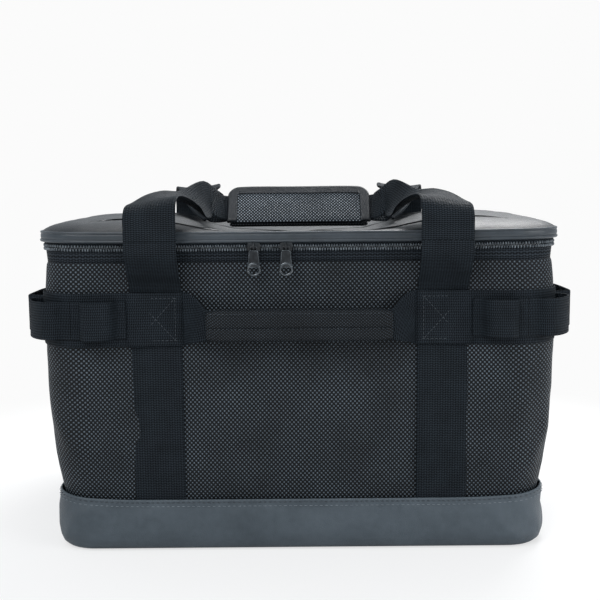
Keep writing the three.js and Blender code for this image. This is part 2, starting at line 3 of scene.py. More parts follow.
import bmesh
import bpy
import numpy as np
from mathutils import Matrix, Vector, noise


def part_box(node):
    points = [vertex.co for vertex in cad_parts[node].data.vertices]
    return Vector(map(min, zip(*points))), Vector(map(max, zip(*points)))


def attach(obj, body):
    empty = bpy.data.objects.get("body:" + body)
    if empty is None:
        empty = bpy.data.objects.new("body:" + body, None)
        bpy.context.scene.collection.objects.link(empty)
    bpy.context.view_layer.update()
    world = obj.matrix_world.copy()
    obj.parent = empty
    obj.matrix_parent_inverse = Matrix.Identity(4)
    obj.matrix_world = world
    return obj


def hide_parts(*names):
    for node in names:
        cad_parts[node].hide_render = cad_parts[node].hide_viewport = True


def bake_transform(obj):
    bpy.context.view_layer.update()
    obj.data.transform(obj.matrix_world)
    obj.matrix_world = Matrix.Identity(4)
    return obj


# The soft shell, lid, webbing and hardware of an insulated food carrier, built round its frame.
# Shapes are worked out in millimetres and turned into metres when a mesh is made.

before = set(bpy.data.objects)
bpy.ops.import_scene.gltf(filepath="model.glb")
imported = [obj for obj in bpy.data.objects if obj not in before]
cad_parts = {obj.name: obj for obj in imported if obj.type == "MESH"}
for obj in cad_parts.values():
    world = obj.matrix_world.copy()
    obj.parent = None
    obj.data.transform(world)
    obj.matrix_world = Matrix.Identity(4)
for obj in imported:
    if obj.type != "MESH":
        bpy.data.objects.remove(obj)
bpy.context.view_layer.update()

MM = 0.001


def box_mm(node):
    low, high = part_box(node)
    return np.array(low) / MM, np.array(high) / MM


FRONT_LOW, FRONT_HIGH = box_mm("front_panel")
SIDE_HIGH = box_mm("right_side_panel")[1]
STRAP_LOW, STRAP_HIGH = box_mm("front_right_strap")
BAND_LOW, BAND_HIGH = box_mm("right_end_band")
LOOP_LOW, LOOP_HIGH = box_mm("right_front_loop")
SLEEVE_LOW, SLEEVE_HIGH = box_mm("front_grip_sleeve")

HALF_W = FRONT_HIGH[0]
HALF_D = -FRONT_LOW[1]
PANEL_FIT = 0.3
CORNER = HALF_D - SIDE_HIGH[1] - PANEL_FIT
BODY_TOP = FRONT_HIGH[2]
BOOT_TOP = box_mm("base_boot")[1][2]
STRAP_X = (STRAP_LOW[0] + STRAP_HIGH[0]) / 2
STRAP_W = STRAP_HIGH[0] - STRAP_LOW[0]
CREST_Y = -STRAP_LOW[1] - 0.85
CREST_Z = STRAP_HIGH[2]
BAND_Z = (BAND_LOW[2] + BAND_HIGH[2]) / 2
BAND_H = BAND_HIGH[2] - BAND_LOW[2]
LOOP_H = LOOP_HIGH[2] - LOOP_LOW[2]
WEB = 1.7  # webbing thickness
LID_OUT = 7.6  # the lid's edge stands out this far in front, and more round the ends
LID_END_FLARE = 5.0
LID_EDGE_Z = 276.5
LID_LOW_Z = 269.6
ZIP_Z = 263.85
ZIP_END = 440.0  # half length of the zip, measured round the bag

FRONT_RUN = HALF_W - CORNER
CORNER_RUN = CORNER * math.pi / 2
SIDE_RUN = 2 * (HALF_D - CORNER)
S_CORNER = FRONT_RUN + CORNER_RUN
S_SIDE_END = S_CORNER + SIDE_RUN
S_REAR = S_SIDE_END + CORNER_RUN
S_HALF = S_REAR + FRONT_RUN
S_SIDE_MIDDLE = (S_CORNER + S_SIDE_END) / 2
FLAT_RUN = 110  # the front and back are flat as far as this from their middles
FLARE_START = 178
ENDS = (("front", -1), ("rear", 1))
SIDES = (("left", -1), ("right", 1))


# ---------------------------------------------------------------- plan outline and skin


def around(s):
    """Distance s folded to -S_HALF..S_HALF, with the front middle at 0."""
    return (np.asarray(s, float) + S_HALF) % (2 * S_HALF) - S_HALF


def from_middle(s):
    """Distance to the nearer of the front middle and the rear middle."""
    d = np.abs(around(s))
    return np.minimum(d, S_HALF - d)


def along(s, offset):
    """Plan x, y at distance s round the body (0 is the front middle, + goes towards +X)."""
    s, offset = np.broadcast_arrays(np.asarray(s, float), np.asarray(offset, float))
    turn = around(s)
    side = np.where(turn < 0, -1.0, 1.0)
    d = np.abs(turn)
    front = np.clip((d - FRONT_RUN) / CORNER, 0, math.pi / 2) - math.pi / 2
    rear = np.clip((d - S_SIDE_END) / CORNER, 0, math.pi / 2)
    angle = front + rear
    x0 = np.where(d < S_SIDE_END, np.minimum(d, FRONT_RUN), FRONT_RUN - np.maximum(d - S_REAR, 0))
    y0 = -(HALF_D - CORNER) + np.clip(d - S_CORNER, 0, SIDE_RUN)
    reach = CORNER + offset
    return side * (x0 + reach * np.cos(angle)), y0 + reach * np.sin(angle)


def row_round(s, offset, z):
    """Points at distances s round the body, offset outwards, at height z."""
    x, y = along(s, offset)
    return np.stack([x, y, z + 0 * x], -1)


def smooth(value, low, high):
    t = np.clip((np.asarray(value, float) - low) / (high - low), 0, 1)
    return t * t * (3 - 2 * t)


def end_weight(s):
    """0 in the middle of the front and back, 1 on the ends of the bag."""
    return smooth(from_middle(s), FLAT_RUN, S_CORNER)


def lid_out(s):
    """How far the lid's edge stands out: it flares over the corners and ends."""
    return LID_OUT + LID_END_FLARE * smooth(from_middle(s), FLARE_START, S_CORNER)


def ripple(x, y, z, size, seed):
    """Smooth noise from -1 to 1 at the scale of size, in millimetres."""
    flat = np.stack(np.broadcast_arrays(x, y, z), -1).reshape(-1, 3) / size
    values = [noise.noise(Vector(p) + Vector((seed, 2 * seed, -seed))) for p in flat]
    return np.array(values).reshape(np.broadcast(x, y, z).shape)


# How far the end cloth bulges at each height, and the share of it that the front and back have.
SKIN_Z = [0, 40, 50, 70, 100, 140, 190, 230, 248, 256]
SKIN_OUT = [-0.4, 0.2, 1.2, 5.0, 9.0, 11.0, 11.5, 10.5, 9.0, 6.0]
FLAT_SHARE = 0.15

# The cloth is drawn in at each ring tab, and kept calm behind the grips so that they can swing.
TAB_REACH = 34
TAB_PULL = 0.92
TAB_RISE = (196, 224)
GRIP_ZONE = (80, 112)
GRIP_ZONE_Z = 197
GRIP_ZONE_HEIGHT = 26
GRIP_CALM = 0.85
FOLD_STRENGTH = 1.5

# Soft folds in the shell: start s, z, end s, z, height and width.
FOLDS = [
    (14, 235, 6, 60, 1.3, 16),
    (-32, 170, -40, 60, -0.9, 14),
    (58, 150, 70, 50, -0.9, 15),
    (-176, 160, -150, 60, 1.4, 9),
    (-165, 238, -190, 150, -1.0, 10),
    (-212, 130, -176, 62, 2.0, 8),
    (-196, 100, -168, 50, -1.4, 7),
    (170, 170, 160, 60, 1.3, 10),
    (196, 150, 208, 60, -1.6, 9),
    (214, 120, 190, 55, 1.8, 8),
    (20, 170, 45, 235, -0.8, 12),
]


def folds(s, z):
    total = np.zeros(np.broadcast(s, z).shape)
    signed = around(s)
    for s0, z0, s1, z1, height, width in FOLDS:
        run = np.array([s1 - s0, z1 - z0], float)
        size = float(run @ run)
        for place in (signed, S_HALF - np.abs(signed)):
            t = np.clip(((place - s0) * run[0] + (z - z0) * run[1]) / size, 0, 1)
            gap = (place - s0 - t * run[0]) ** 2 + (z - z0 - t * run[1]) ** 2
            total += height * np.exp(-gap / width**2) * np.sin(math.pi * np.clip(t, 0.08, 0.92))
    return total


def skin(s, z, detail=True):
    """How far the outer cloth stands out from the straight outline."""
    s, z = np.broadcast_arrays(np.asarray(s, float), np.asarray(z, float))
    out = np.interp(z, SKIN_Z, SKIN_OUT) * (FLAT_SHARE + (1 - FLAT_SHARE) * end_weight(s))
    to_tab = (np.abs(around(s)) - S_SIDE_MIDDLE) / TAB_REACH
    tab = np.exp(-(to_tab**2)) * smooth(z, *TAB_RISE)
    out = out * (1 - TAB_PULL * tab)
    if detail:
        x, y = along(s, 0)
        grip = smooth(-from_middle(s), -GRIP_ZONE[1], -GRIP_ZONE[0])
        grip = grip * np.exp(-(((z - GRIP_ZONE_Z) / GRIP_ZONE_HEIGHT) ** 4))
        loose = smooth(z, 50, 90) * smooth(-z, -254, -235) * (1 - GRIP_CALM * grip) * (1 - tab)
        out = out + loose * (1.5 * ripple(x, y, z, 52, 3.0) + 0.5 * ripple(x, y, z, 19, 7.0))
        out = out + FOLD_STRENGTH * loose * folds(s, z)
    return out


# ---------------------------------------------------------------- mesh builders


def new_object(name, vertices, faces, uvs):
    """A smooth mesh object from points in millimetres, with one uv for each point."""
    mesh = bpy.data.meshes.new(name)
    mesh.from_pydata([tuple(float(c) * MM for c in v) for v in vertices], [], faces)
    layer = mesh.uv_layers.new(name="UVMap")
    for loop in mesh.loops:
        layer.data[loop.index].uv = uvs[loop.vertex_index]
    obj = bpy.data.objects.new(name, mesh)
    bpy.context.scene.collection.objects.link(obj)
    edit = bmesh.new()
    edit.from_mesh(mesh)
    bmesh.ops.remove_doubles(edit, verts=edit.verts, dist=1e-6)
    bmesh.ops.dissolve_degenerate(edit, edges=edit.edges, dist=1e-7)
    bmesh.ops.recalc_face_normals(edit, faces=edit.faces)
    edit.to_mesh(mesh)
    edit.free()
    for polygon in mesh.polygons:
        polygon.use_smooth = True
    return obj


def grid(name, points, uv, thickness=0.0):
    """A surface from a (rows, columns, 3) array of points; uv holds real millimetres."""
    rows, columns = points.shape[:2]
    faces = []
    for r in range(rows - 1):
        for c in range(columns - 1):
            a = r * columns + c
            faces.append((a, a + 1, a + columns + 1, a + columns))
    obj = new_object(name, points.reshape(-1, 3), faces, uv.reshape(-1, 2))
    if thickness:
        solid = obj.modifiers.new("thickness", "SOLIDIFY")
        solid.thickness = thickness * MM
        solid.offset = -1
    return obj


def tube_of(name, rings, closed=False):
    """A closed solid from rings of points; closed joins the last ring to the first."""
    rings = np.asarray(rings, float)
    if closed:
        rings = np.concatenate([rings, rings[:1]])
    count, around = rings.shape[:2]
    wrapped = np.concatenate([rings, rings[:, :1]], 1)
    across = np.linalg.norm(np.diff(wrapped, axis=1), axis=2)
    u = np.concatenate([np.zeros((count, 1)), np.cumsum(across, 1)], 1)
    middle = rings.mean(1)
    steps = np.linalg.norm(np.diff(middle, axis=0), axis=1)
    v = np.concatenate([[0], np.cumsum(steps)])[:, None] * np.ones((1, around + 1))
    columns = around + 1
    faces = []
    for r in range(count - 1):
        for c in range(around):
            a = r * columns + c
            faces.append((a, a + 1, a + columns + 1, a + columns))
    if not closed:
        last = (count - 1) * columns
        faces.append(tuple(range(around)))
        faces.append(tuple(range(last, last + around)))
    uv = np.stack([u, v], -1)
    return new_object(name, wrapped.reshape(-1, 3), faces, uv.reshape(-1, 2))


def directions(points, closed=False):
    """The unit direction of travel at each point."""
    if closed:
        forward = np.roll(points, -1, 0) - np.roll(points, 1, 0)
    else:
        forward = np.gradient(points, axis=0)
    return forward / np.maximum(np.linalg.norm(forward, axis=1, keepdims=True), 1e-9)


# Half of webbing's cross-section: where across its width, and how thick it is there.
STRIP_ACROSS = [-0.5, -0.485, -0.46, -0.3, -0.1, 0.1, 0.3, 0.46, 0.485, 0.5]
STRIP_THICK = [0.12, 0.42, 0.5, 0.44, 0.46, 0.46, 0.44, 0.5, 0.42, 0.12]


def strip(name, points, wide, width, thickness=WEB):
    """Flat webbing along points, with its width along wide and a ridge beside each edge."""
    points = np.asarray(points, float)
    count = len(points)
    forward = directions(points)
    wide = np.broadcast_to(np.asarray(wide, float), points.shape)
    wide = wide - (wide * forward).sum(1, keepdims=True) * forward
    wide = wide / np.linalg.norm(wide, axis=1, keepdims=True)
    face = np.cross(forward, wide)
    width = np.broadcast_to(np.asarray(width, float), (count,))
    top = list(zip(STRIP_ACROSS, STRIP_THICK))
    section = top + [(a, -t) for a, t in reversed(top)]
    rings = []
    for i in range(count):
        rings.append([
            points[i] + wide[i] * a * width[i] + face[i] * t * thickness for a, t in section
        ])
    return tube_of(name, rings)


def round_tube(name, points, radius, sides=8, closed=False):
    """A round cord or wire along points."""
    points = np.asarray(points, float)
    forward = directions(points, closed)
    side = np.cross(forward, np.broadcast_to([0, 0, 1.0], forward.shape))
    weak = np.linalg.norm(side, axis=1) < 0.2
    side[weak] = np.cross(forward[weak], [0, 1.0, 0])
    side = side / np.linalg.norm(side, axis=1, keepdims=True)
    up = np.cross(side, forward)
    angles = np.arange(sides) * 2 * math.pi / sides
    rings = []
    for i, point in enumerate(points):
        rings.append([point + radius * (side[i] * math.cos(a) + up[i] * math.sin(a)) for a in angles])
    return tube_of(name, rings, closed=closed)


BEAD_SIDES = 6
BEAD_RINGS = [(-0.75, 0.72), (0, 1.0), (0.75, 0.72)]  # share of the half length, and fatness there


def beads(name, centres, long_way, out, length, width, height):
    """Many small rounded beads in one mesh: thread stitches or zip teeth."""
    sides = BEAD_SIDES
    vertices = []
    faces = []
    centres = np.asarray(centres, float)
    long_way = np.broadcast_to(np.asarray(long_way, float), centres.shape)
    out = np.broadcast_to(np.asarray(out, float), centres.shape)
    for centre, forward, normal in zip(centres, long_way, out):
        forward = forward / np.linalg.norm(forward)
        across = np.cross(forward, normal)
        across = across / np.linalg.norm(across)
        normal = np.cross(across, forward)
        base = len(vertices)
        vertices.append(centre - forward * length / 2)
        for reach, fat in BEAD_RINGS:
            for k in range(sides):
                a = 2 * math.pi * k / sides
                spot = across * math.cos(a) * width / 2 + normal * math.sin(a) * height / 2
                vertices.append(centre + forward * length / 2 * reach + spot * fat)
        vertices.append(centre + forward * length / 2)
        last = len(vertices) - 1
        for k in range(sides):
            j = (k + 1) % sides
            faces.append((base, base + 1 + j, base + 1 + k))
            for ring in range(2):
                a = base + 1 + ring * sides
                faces.append((a + k, a + j, a + sides + j, a + sides + k))
            a = base + 1 + 2 * sides
            faces.append((a + k, a + j, last))
    return new_object(name, vertices, faces, [(v[0], v[2]) for v in vertices])


def even(points, step):
    """Points every step millimetres along a polyline."""
    points = np.asarray(points, float)
    gaps = np.linalg.norm(np.diff(points, axis=0), axis=1)
    total = np.concatenate([[0], np.cumsum(gaps)])
    marks = np.arange(0, total[-1] + 1e-6, step)
    return np.stack([np.interp(marks, total, points[:, k]) for k in range(points.shape[1])], 1)


def curve(stations, per_span=8):
    """A smooth Catmull-Rom run through rows of numbers."""
    rows = np.asarray(stations, float)
    padded = np.concatenate([2 * rows[:1] - rows[1:2], rows, 2 * rows[-1:] - rows[-2:-1]])
    out = []
    for i in range(1, len(padded) - 2):
        a, b, c, d = padded[i - 1], padded[i], padded[i + 1], padded[i + 2]
        for k in range(per_span):
            t = k / per_span
            square = (2 * a - 5 * b + 4 * c - d) * t**2
            cube = (3 * b - a - 3 * c + d) * t**3
            out.append(0.5 * (2 * b + (c - a) * t + square + cube))
    out.append(rows[-1])
    return np.array(out)


def settle(obj, body, slot, material, *nodes):
    """Gives a piece its material, body and the frame nodes that it stands for; the slot argument is not
    used.
    """
    obj.data.materials.clear()
    obj.data.materials.append(material)
    if body:
        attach(obj, body)
    if nodes:
        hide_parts(*nodes)


# ---------------------------------------------------------------- materials


class Nodes:
    """A small helper for building one material's node tree."""

    def __init__(self, name, roughness, metallic=0.0):
        self.material = bpy.data.materials.new(name)
        self.material.use_nodes = True
        self.tree = self.material.node_tree
        self.shader = self.tree.nodes["Principled BSDF"]
        self.shader.inputs["Roughness"].default_value = roughness
        self.shader.inputs["Metallic"].default_value = metallic

    def node(self, kind, **settings):
        made = self.tree.nodes.new(kind)
        for key, value in settings.items():
            setattr(made, key, value)
        return made

    def plug(self, value, socket):
        if isinstance(value, (int, float)):
            socket.default_value = value
        else:
            self.tree.links.new(value, socket)

    def math(self, operation, a, b=0.0):
        made = self.node("ShaderNodeMath", operation=operation)
        self.plug(a, made.inputs[0])
        self.plug(b, made.inputs[1])
        return made.outputs[0]

    def wave(self, coordinate, pitch):
        return self.math("COSINE", self.math("MULTIPLY", coordinate, 2 * math.pi / pitch))

    def uv(self):
        split = self.node("ShaderNodeSeparateXYZ")
        self.tree.links.new(self.node("ShaderNodeUVMap").outputs[0], split.inputs[0])
        return split.outputs[0], split.outputs[1]

    def noise(self, scale, detail=3.0):
        made = self.node("ShaderNodeTexNoise")
        made.inputs["Scale"].default_value = scale
        made.inputs["Detail"].default_value = detail
        self.tree.links.new(self.node("ShaderNodeTexCoord").outputs["Object"], made.inputs["Vector"])
        return made.outputs[0]

    def cells(self, scale):
        made = self.node("ShaderNodeTexVoronoi", feature="DISTANCE_TO_EDGE")
        made.inputs["Scale"].default_value = scale
        self.tree.links.new(self.node("ShaderNodeTexCoord").outputs["Object"], made.inputs["Vector"])
        return made.outputs["Distance"]

    def ramp(self, value, low, high, dark, light):
        made = self.node("ShaderNodeValToRGB")
        made.color_ramp.elements[0].position = low
        made.color_ramp.elements[0].color = (*dark, 1)
        made.color_ramp.elements[1].position = high
        made.color_ramp.elements[1].color = (*light, 1)
        self.plug(value, made.inputs[0])
        self.tree.links.new(made.outputs[0], self.shader.inputs["Base Color"])

    def rough(self, value, low, high):
        made = self.node("ShaderNodeMapRange")
        made.inputs["To Min"].default_value = low
        made.inputs["To Max"].default_value = high
        self.plug(value, made.inputs["Value"])
        self.tree.links.new(made.outputs[0], self.shader.inputs["Roughness"])

    def bump(self, height, strength, distance):
        made = self.node("ShaderNodeBump")
        made.inputs["Strength"].default_value = strength
        made.inputs["Distance"].default_value = distance
        self.plug(height, made.inputs["Height"])
        self.tree.links.new(made.outputs[0], self.shader.inputs["Normal"])


def srgb(*channels):
    """A linear colour from 0 to 255 screen values."""
    shares = [c / 255 for c in channels]
    return tuple(((c + 0.055) / 1.055) ** 2.4 if c > 0.0404 else c / 12.92 for c in shares)


def nylon_material(name, dark, light, pitch=3.6):
    """Coarse ballistic nylon: staggered raised yarns, their tops lightened as a painted highlight over a
    ground darkened as painted shade.
    """
    m = Nodes(name, 0.55)
    u, v = m.uv()
    dots = m.math("MULTIPLY", m.wave(u, pitch), m.wave(v, pitch * 1.1))
    yarn = m.math("POWER", m.math("MAXIMUM", dots, 0.0), 0.8)
    fine = m.math("MULTIPLY", m.wave(v, pitch / 6), 0.08)
    patchy = m.math("MULTIPLY", m.noise(24.0), 0.9)
    grit = m.math("MULTIPLY", m.noise(420.0, 2.0), 0.5)
    painted_glint_and_patches = m.math("MULTIPLY", m.math("ADD", yarn, fine), m.math("ADD", patchy, 0.35))
    # Base colour: painted highlight on the yarn tops and painted shade between them, varied by random
    # patches and grit.
    m.ramp(m.math("MULTIPLY", painted_glint_and_patches, m.math("ADD", grit, 0.75)), 0.10, 0.95, dark, light)
    m.rough(yarn, 0.62, 0.34)
    m.bump(m.math("ADD", yarn, grit), 0.8, 0.0008)
    m.shader.inputs["Specular IOR Level"].default_value = 0.22
    return m.material


RIB_PITCH = 1.5
RIB_COLUMN = 2.2


def webbing_material(name, dark, light):
    """Woven webbing: short ribs across, in columns that lean alternately."""
    m = Nodes(name, 0.7)
    u, v = m.uv()
    lean = m.math("MULTIPLY", m.wave(u, 2 * RIB_COLUMN), 0.9)
    ribs = m.math("COSINE", m.math("ADD", m.math("MULTIPLY", v, 2 * math.pi / RIB_PITCH), lean))
    columns = m.math("MULTIPLY", m.wave(u, RIB_COLUMN), 0.5)
    weave = m.math("ADD", m.math("MULTIPLY", m.math("ADD", ribs, columns), 0.33), 0.5)
    patchy = m.math("ADD", m.math("MULTIPLY", m.noise(60.0), 0.6), 0.65)
    m.ramp(m.math("MULTIPLY", weave, patchy), 0.15, 0.95, dark, light)
    m.rough(weave, 0.78, 0.5)
    m.bump(weave, 0.8, 0.0006)
    m.shader.inputs["Specular IOR Level"].default_value = 0.1
    return m.material


def leather_material(name, dark, light, roughness, grain=900.0, depth=0.35, shine=0.4):
    """Coated cloth with a fine pebbled grain, scuffs and slow colour changes."""
    m = Nodes(name, roughness)
    pebbles = m.math("MINIMUM", m.math("MULTIPLY", m.cells(grain), 3.5), 1.0)
    slow = m.noise(14.0, 4.0)
    scuff = m.noise(160.0, 4.0)
    tone = m.math("ADD", m.math("MULTIPLY", slow, 0.7), m.math("MULTIPLY", scuff, 0.3))
    m.ramp(tone, 0.30, 0.72, dark, light)
    m.rough(m.math("ADD", m.math("MULTIPLY", scuff, 0.6), m.math("MULTIPLY", slow, 0.4)),
            roughness - 0.12, roughness + 0.16)
    height = m.math("ADD", m.math("MULTIPLY", pebbles, 0.5), m.math("MULTIPLY", scuff, 0.9))
    m.bump(height, depth, 0.0007)
    m.shader.inputs["Specular IOR Level"].default_value = shine
    return m.material


def plain_material(name, dark, light, roughness, metallic=0.0, scale=220.0, depth=0.1):
    """Plastic, metal, film or foam with fine surface variation."""
    m = Nodes(name, roughness, metallic)
    wear = m.noise(scale, 4.0)
    m.ramp(wear, 0.35, 0.7, dark, light)
    m.rough(wear, max(roughness - 0.08, 0.05), roughness + 0.12)
    m.bump(wear, depth, 0.0005)
    return m.material


# Colours run from the darkest to the lightest: on nylon from the painted shade of the ground between yarns
# to the painted highlight on the yarn tops, elsewhere from the darkest wear to the lightest.
MAT = {
    "nylon": nylon_material("nylon", srgb(3, 5, 8), srgb(98, 110, 120)),
    "wrap_nylon": nylon_material("wrap_nylon", srgb(12, 17, 22), srgb(156, 168, 179), 3.2),
    "grip_nylon": nylon_material("grip_nylon", srgb(4, 6, 9), srgb(60, 70, 79), 2.6),
    "boot": leather_material("boot_leather", srgb(58, 67, 74), srgb(80, 90, 98), 0.42),
    "lid": leather_material("lid_coating", srgb(12, 16, 20), srgb(27, 33, 38), 0.36, 1300, 0.25),
    # A lighter copy of the lid coating: painted highlight for the lit side band and piping.
    "lid_edge_painted_highlight": leather_material("lid_edge_painted_highlight", srgb(34, 41, 47), srgb(62, 70, 77), 0.3, 1500, 0.2, 0.5),
    "binding": leather_material("binding", srgb(14, 18, 23), srgb(28, 34, 40), 0.34, 1500, 0.2, 0.45),
    "webbing": webbing_material("webbing", srgb(2, 3, 5), srgb(42, 50, 57)),
    "tape": webbing_material("zip_tape", srgb(6, 9, 12), srgb(46, 53, 60)),
    "teeth": plain_material("zip_teeth", srgb(52, 59, 66), srgb(118, 127, 134), 0.3),
    "metal": plain_material("gunmetal", srgb(62, 66, 70), srgb(104, 109, 113), 0.22, 1.0),
    "dark_metal": plain_material("painted_metal", srgb(22, 25, 28), srgb(44, 48, 52), 0.3, 0.3),
    "thread": plain_material("thread", srgb(36, 42, 48), srgb(70, 78, 85), 0.6, 0.0, 900.0),
    "pale_thread": plain_material("pale_thread", srgb(92, 102, 110), srgb(122, 131, 138), 0.6, 0.0, 900.0),
    "lining": plain_material("lining_film", srgb(150, 156, 160), srgb(190, 195, 198), 0.3, 0.35, 60.0, 0.4),
    "foam": plain_material("foam", srgb(205, 208, 210), srgb(226, 228, 229), 0.85, 0.0, 500.0, 0.4),
    "plastic": plain_material("board", srgb(24, 27, 30), srgb(40, 43, 46), 0.45),
}


# ---------------------------------------------------------------- shell, boot and lid


CLOTH_STEP = 4.0


def ring_run(start, stop, step=CLOTH_STEP):
    """Evenly spaced distances from start to stop, about step apart."""
    count = max(int(round((stop - start) / step)), 2)
    return np.linspace(start, stop, count + 1)


def build_shell():
    """The four cloth panels between the boot and the zip."""
    z = np.concatenate([np.arange(6, 246, 4.0), np.linspace(246, BODY_TOP + 2.4, 6)])
    panels = {
        "front_panel": (-S_CORNER, S_CORNER),
        "right_side_panel": (S_CORNER, S_SIDE_END),
        "back_panel": (S_SIDE_END, 2 * S_HALF - S_SIDE_END),
        "left_side_panel": (-S_SIDE_END, -S_CORNER),
    }
    for node, (start, stop) in panels.items():
        grid_s, grid_z = np.meshgrid(ring_run(start, stop), z)
        points = row_round(grid_s, skin(grid_s, grid_z), grid_z)
        panel = grid(f"{node}_cloth", points, np.stack([grid_s, grid_z], -1), 1.6)
        settle(panel, "bag", "nylon", MAT["nylon"], node)


def hem_height(s):
    """The boot's top edge climbs a little towards the corners."""
    return BOOT_TOP - 0.5 + 4.5 * end_weight(s) ** 2


# The boot's profile in even steps from under the base to inside the hem: share of its height, offset.
BOOT_RISE = [0, 0, 0.02, 0.08, 0.2, 0.35, 0.5, 0.65, 0.8, 0.92, 0.98, 1.0, 1.0, 0.93]
BOOT_OUT = [-30, -4, 0.6, 3.8, 6.0, 6.8, 6.6, 6.0, 5.3, 4.8, 4.7, 4.3, 3.0, 2.8]
BOOT_ROWS = 44

# Creases in the boot: where they start, how far they lean for each millimetre of height, and depth.
BOOT_CREASES = [
    (-196, 0.5, 1.5), (-176, 0.9, -1.0), (-148, 1.2, 0.8), (-40, 1.6, 0.5),
    (120, -1.0, 0.6), (176, -0.8, 1.2), (200, -0.4, 1.5), (216, 0.3, -1.1),
]
CREASE_WIDTH = 7.0
CREASE_FOOT_Z = 20
HEM_STITCH_OUT = 5.0


def build_boot():
    """The leather-look tub round the base, with a turned hem."""
    s = ring_run(-S_HALF, S_HALF)
    share = np.linspace(0, 1, BOOT_ROWS)
    grid_s, grid_share = np.meshgrid(s, share)
    steps = np.linspace(0, 1, len(BOOT_RISE))
    z = np.interp(grid_share, steps, BOOT_RISE) * hem_height(grid_s)
    offset = np.interp(grid_share, steps, BOOT_OUT)
    x, y = along(grid_s, 0)
    free = smooth(z, 2, 14) * smooth(-z, -46, -34)
    slack = 1.3 * ripple(x, y, z * 1.4, 34, 11.0) + 0.6 * ripple(x, y, z, 12, 5.0)
    creases = np.zeros_like(z)
    for s0, lean, height in BOOT_CREASES:
        gap = (grid_s - s0 - lean * (z - CREASE_FOOT_Z)) / CREASE_WIDTH
        creases += height * np.exp(-(gap**2))
    offset = offset + free * (slack + creases * (0.5 + 1.3 * end_weight(grid_s)))
    points = np.concatenate([np.zeros((1, len(s), 3)), row_round(grid_s, offset, z)])
    length = np.concatenate([[0], np.cumsum(np.linalg.norm(np.diff(points[:, 0], axis=0), axis=1))])
    uv = np.stack([np.broadcast_to(s, points.shape[:2]), length[:, None] * np.ones_like(s)], -1)
    boot = grid("boot_cloth", points, uv)
    settle(boot, "bag", "boot_leather", MAT["boot"], "base_boot")
    for index, drop in enumerate((2.2, 5.6)):
        marks = np.arange(-S_HALF, S_HALF, 4.4)
        height = hem_height(marks) - drop
        out = HEM_STITCH_OUT
        centres = row_round(marks, out + 0.05 * drop, height)
        ahead = row_round(marks + 1, out, height) - row_round(marks - 1, out, height)
        outward = row_round(marks, out + 1, height) - row_round(marks, out, height)
        row = beads(f"boot_stitches_{index}", centres, ahead, outward, 3.0, 0.7, 0.9)
        settle(row, "bag", "boot_leather", MAT["pale_thread"] if index else MAT["thread"])


LID_PUFF = 10.0
LID_DISH = 7.0
LID_FLAT_RIM = 40  # the rows follow the lid's outline this far in, then shrink to its middle


def lid_height(x, y, inset):
    """The padded lid: full at both ends, dished across the middle under the wrap."""
    end = smooth(np.abs(x), 55, 150)
    roll = 1 - np.exp(-inset / 9.0)
    full = roll * LID_PUFF * end * (0.7 + 0.3 * np.cos(math.pi * y / (2.2 * HALF_D)))
    dish = (1 - end) * smooth(inset, 6, 85) * LID_DISH
    wave = 1.1 * ripple(x, y, 0, 60, 2.0) + 0.45 * ripple(x, y, 0, 18, 9.0)
    return LID_EDGE_Z + full - dish + wave * smooth(inset, 4, 20) * smooth(np.hypot(x, y), 60, 100)


def rim_sag(s):
    """The lid's edge hangs slightly lower in the middle of the front and back."""
    return -1.0 * (1 - end_weight(s))


def build_lid():
    """The padded top, its upright side band and the piping on both edges of the band."""
    s = ring_run(-S_HALF, S_HALF, 5.0)
    insets = np.concatenate([[0, 0.8, 2, 4, 7, 11], np.arange(16, LID_FLAT_RIM + 1, 5.0)])
    inner = np.array([0.9, 0.78, 0.64, 0.5, 0.36, 0.22, 0.1, 0.0])
    rows = [row_round(s, lid_out(s) - inset, inset) for inset in insets]
    edge = rows[-1]
    for share in inner:
        depth = np.full(len(s), LID_FLAT_RIM + (1 - share) * 100)
        rows.append(np.stack([edge[:, 0] * share, edge[:, 1] * share, depth], -1))
    plan = np.array(rows)
    sag = rim_sag(s)[None] * np.exp(-plan[..., 2] / 20)
    z = lid_height(plan[..., 0], plan[..., 1], plan[..., 2]) + sag
    points = np.stack([plan[..., 0], plan[..., 1], z], -1)
    lid = grid("lid_cushion", points, points[..., :2].copy(), 1.2)
    settle(lid, "lid", "trim_leather", MAT["lid"], "lid_top_panel")
    share = np.linspace(0, 1, 6)
    grid_s, grid_share = np.meshgrid(s, share)
    z = LID_LOW_Z + (LID_EDGE_Z - LID_LOW_Z) * grid_share + rim_sag(grid_s)
    x0, y0 = along(grid_s, 0)
    belly = lid_out(grid_s) + 0.9 * np.sin(math.pi * grid_share) + 0.3 * ripple(x0, y0, z, 22, 4.0)
    band = grid("lid_side_band", row_round(grid_s, belly, z), np.stack([grid_s, z], -1), 1.4)
    # The side band and both pipings take the lighter lid coating, a painted highlight.
    settle(band, "lid", "trim_leather", MAT["lid_edge_painted_highlight"], "lid_gusset")
    for name, z0, proud, radius, nodes in (
        ("lid_piping_low", LID_LOW_Z, 0.1, 1.35, ["lid_piping"]),
        ("lid_piping_top", LID_EDGE_Z, -0.1, 1.1, []),
    ):
        path = row_round(s[:-1], lid_out(s[:-1]) + proud, z0 + rim_sag(s[:-1]))
        piping = round_tube(name, path, radius, closed=True)
        settle(piping, "lid", "trim_leather", MAT["lid_edge_painted_highlight"], *nodes)


# ---------------------------------------------------------------- zip


TAPE_THICKNESS = 0.8
TAPE_SET_BACK = 3.2
TAPE_OVERRUN = 8
TOOTH_PITCH = 2.2
TOOTH_SET_BACK = 2.4
TOOTH_RISE = 1.45
HINGE_SET_BACK = 4.5


def cloth_band(name, s, rows, height):
    """Thin cloth round the bag through rows of points; height is its unrolled width."""
    rows = np.array(rows)
    across = np.linspace(0, height, len(rows))[:, None] + 0 * s
    uv = np.stack([np.broadcast_to(s, rows.shape[:2]), across], -1)
    return grid(name, rows, uv, TAPE_THICKNESS)


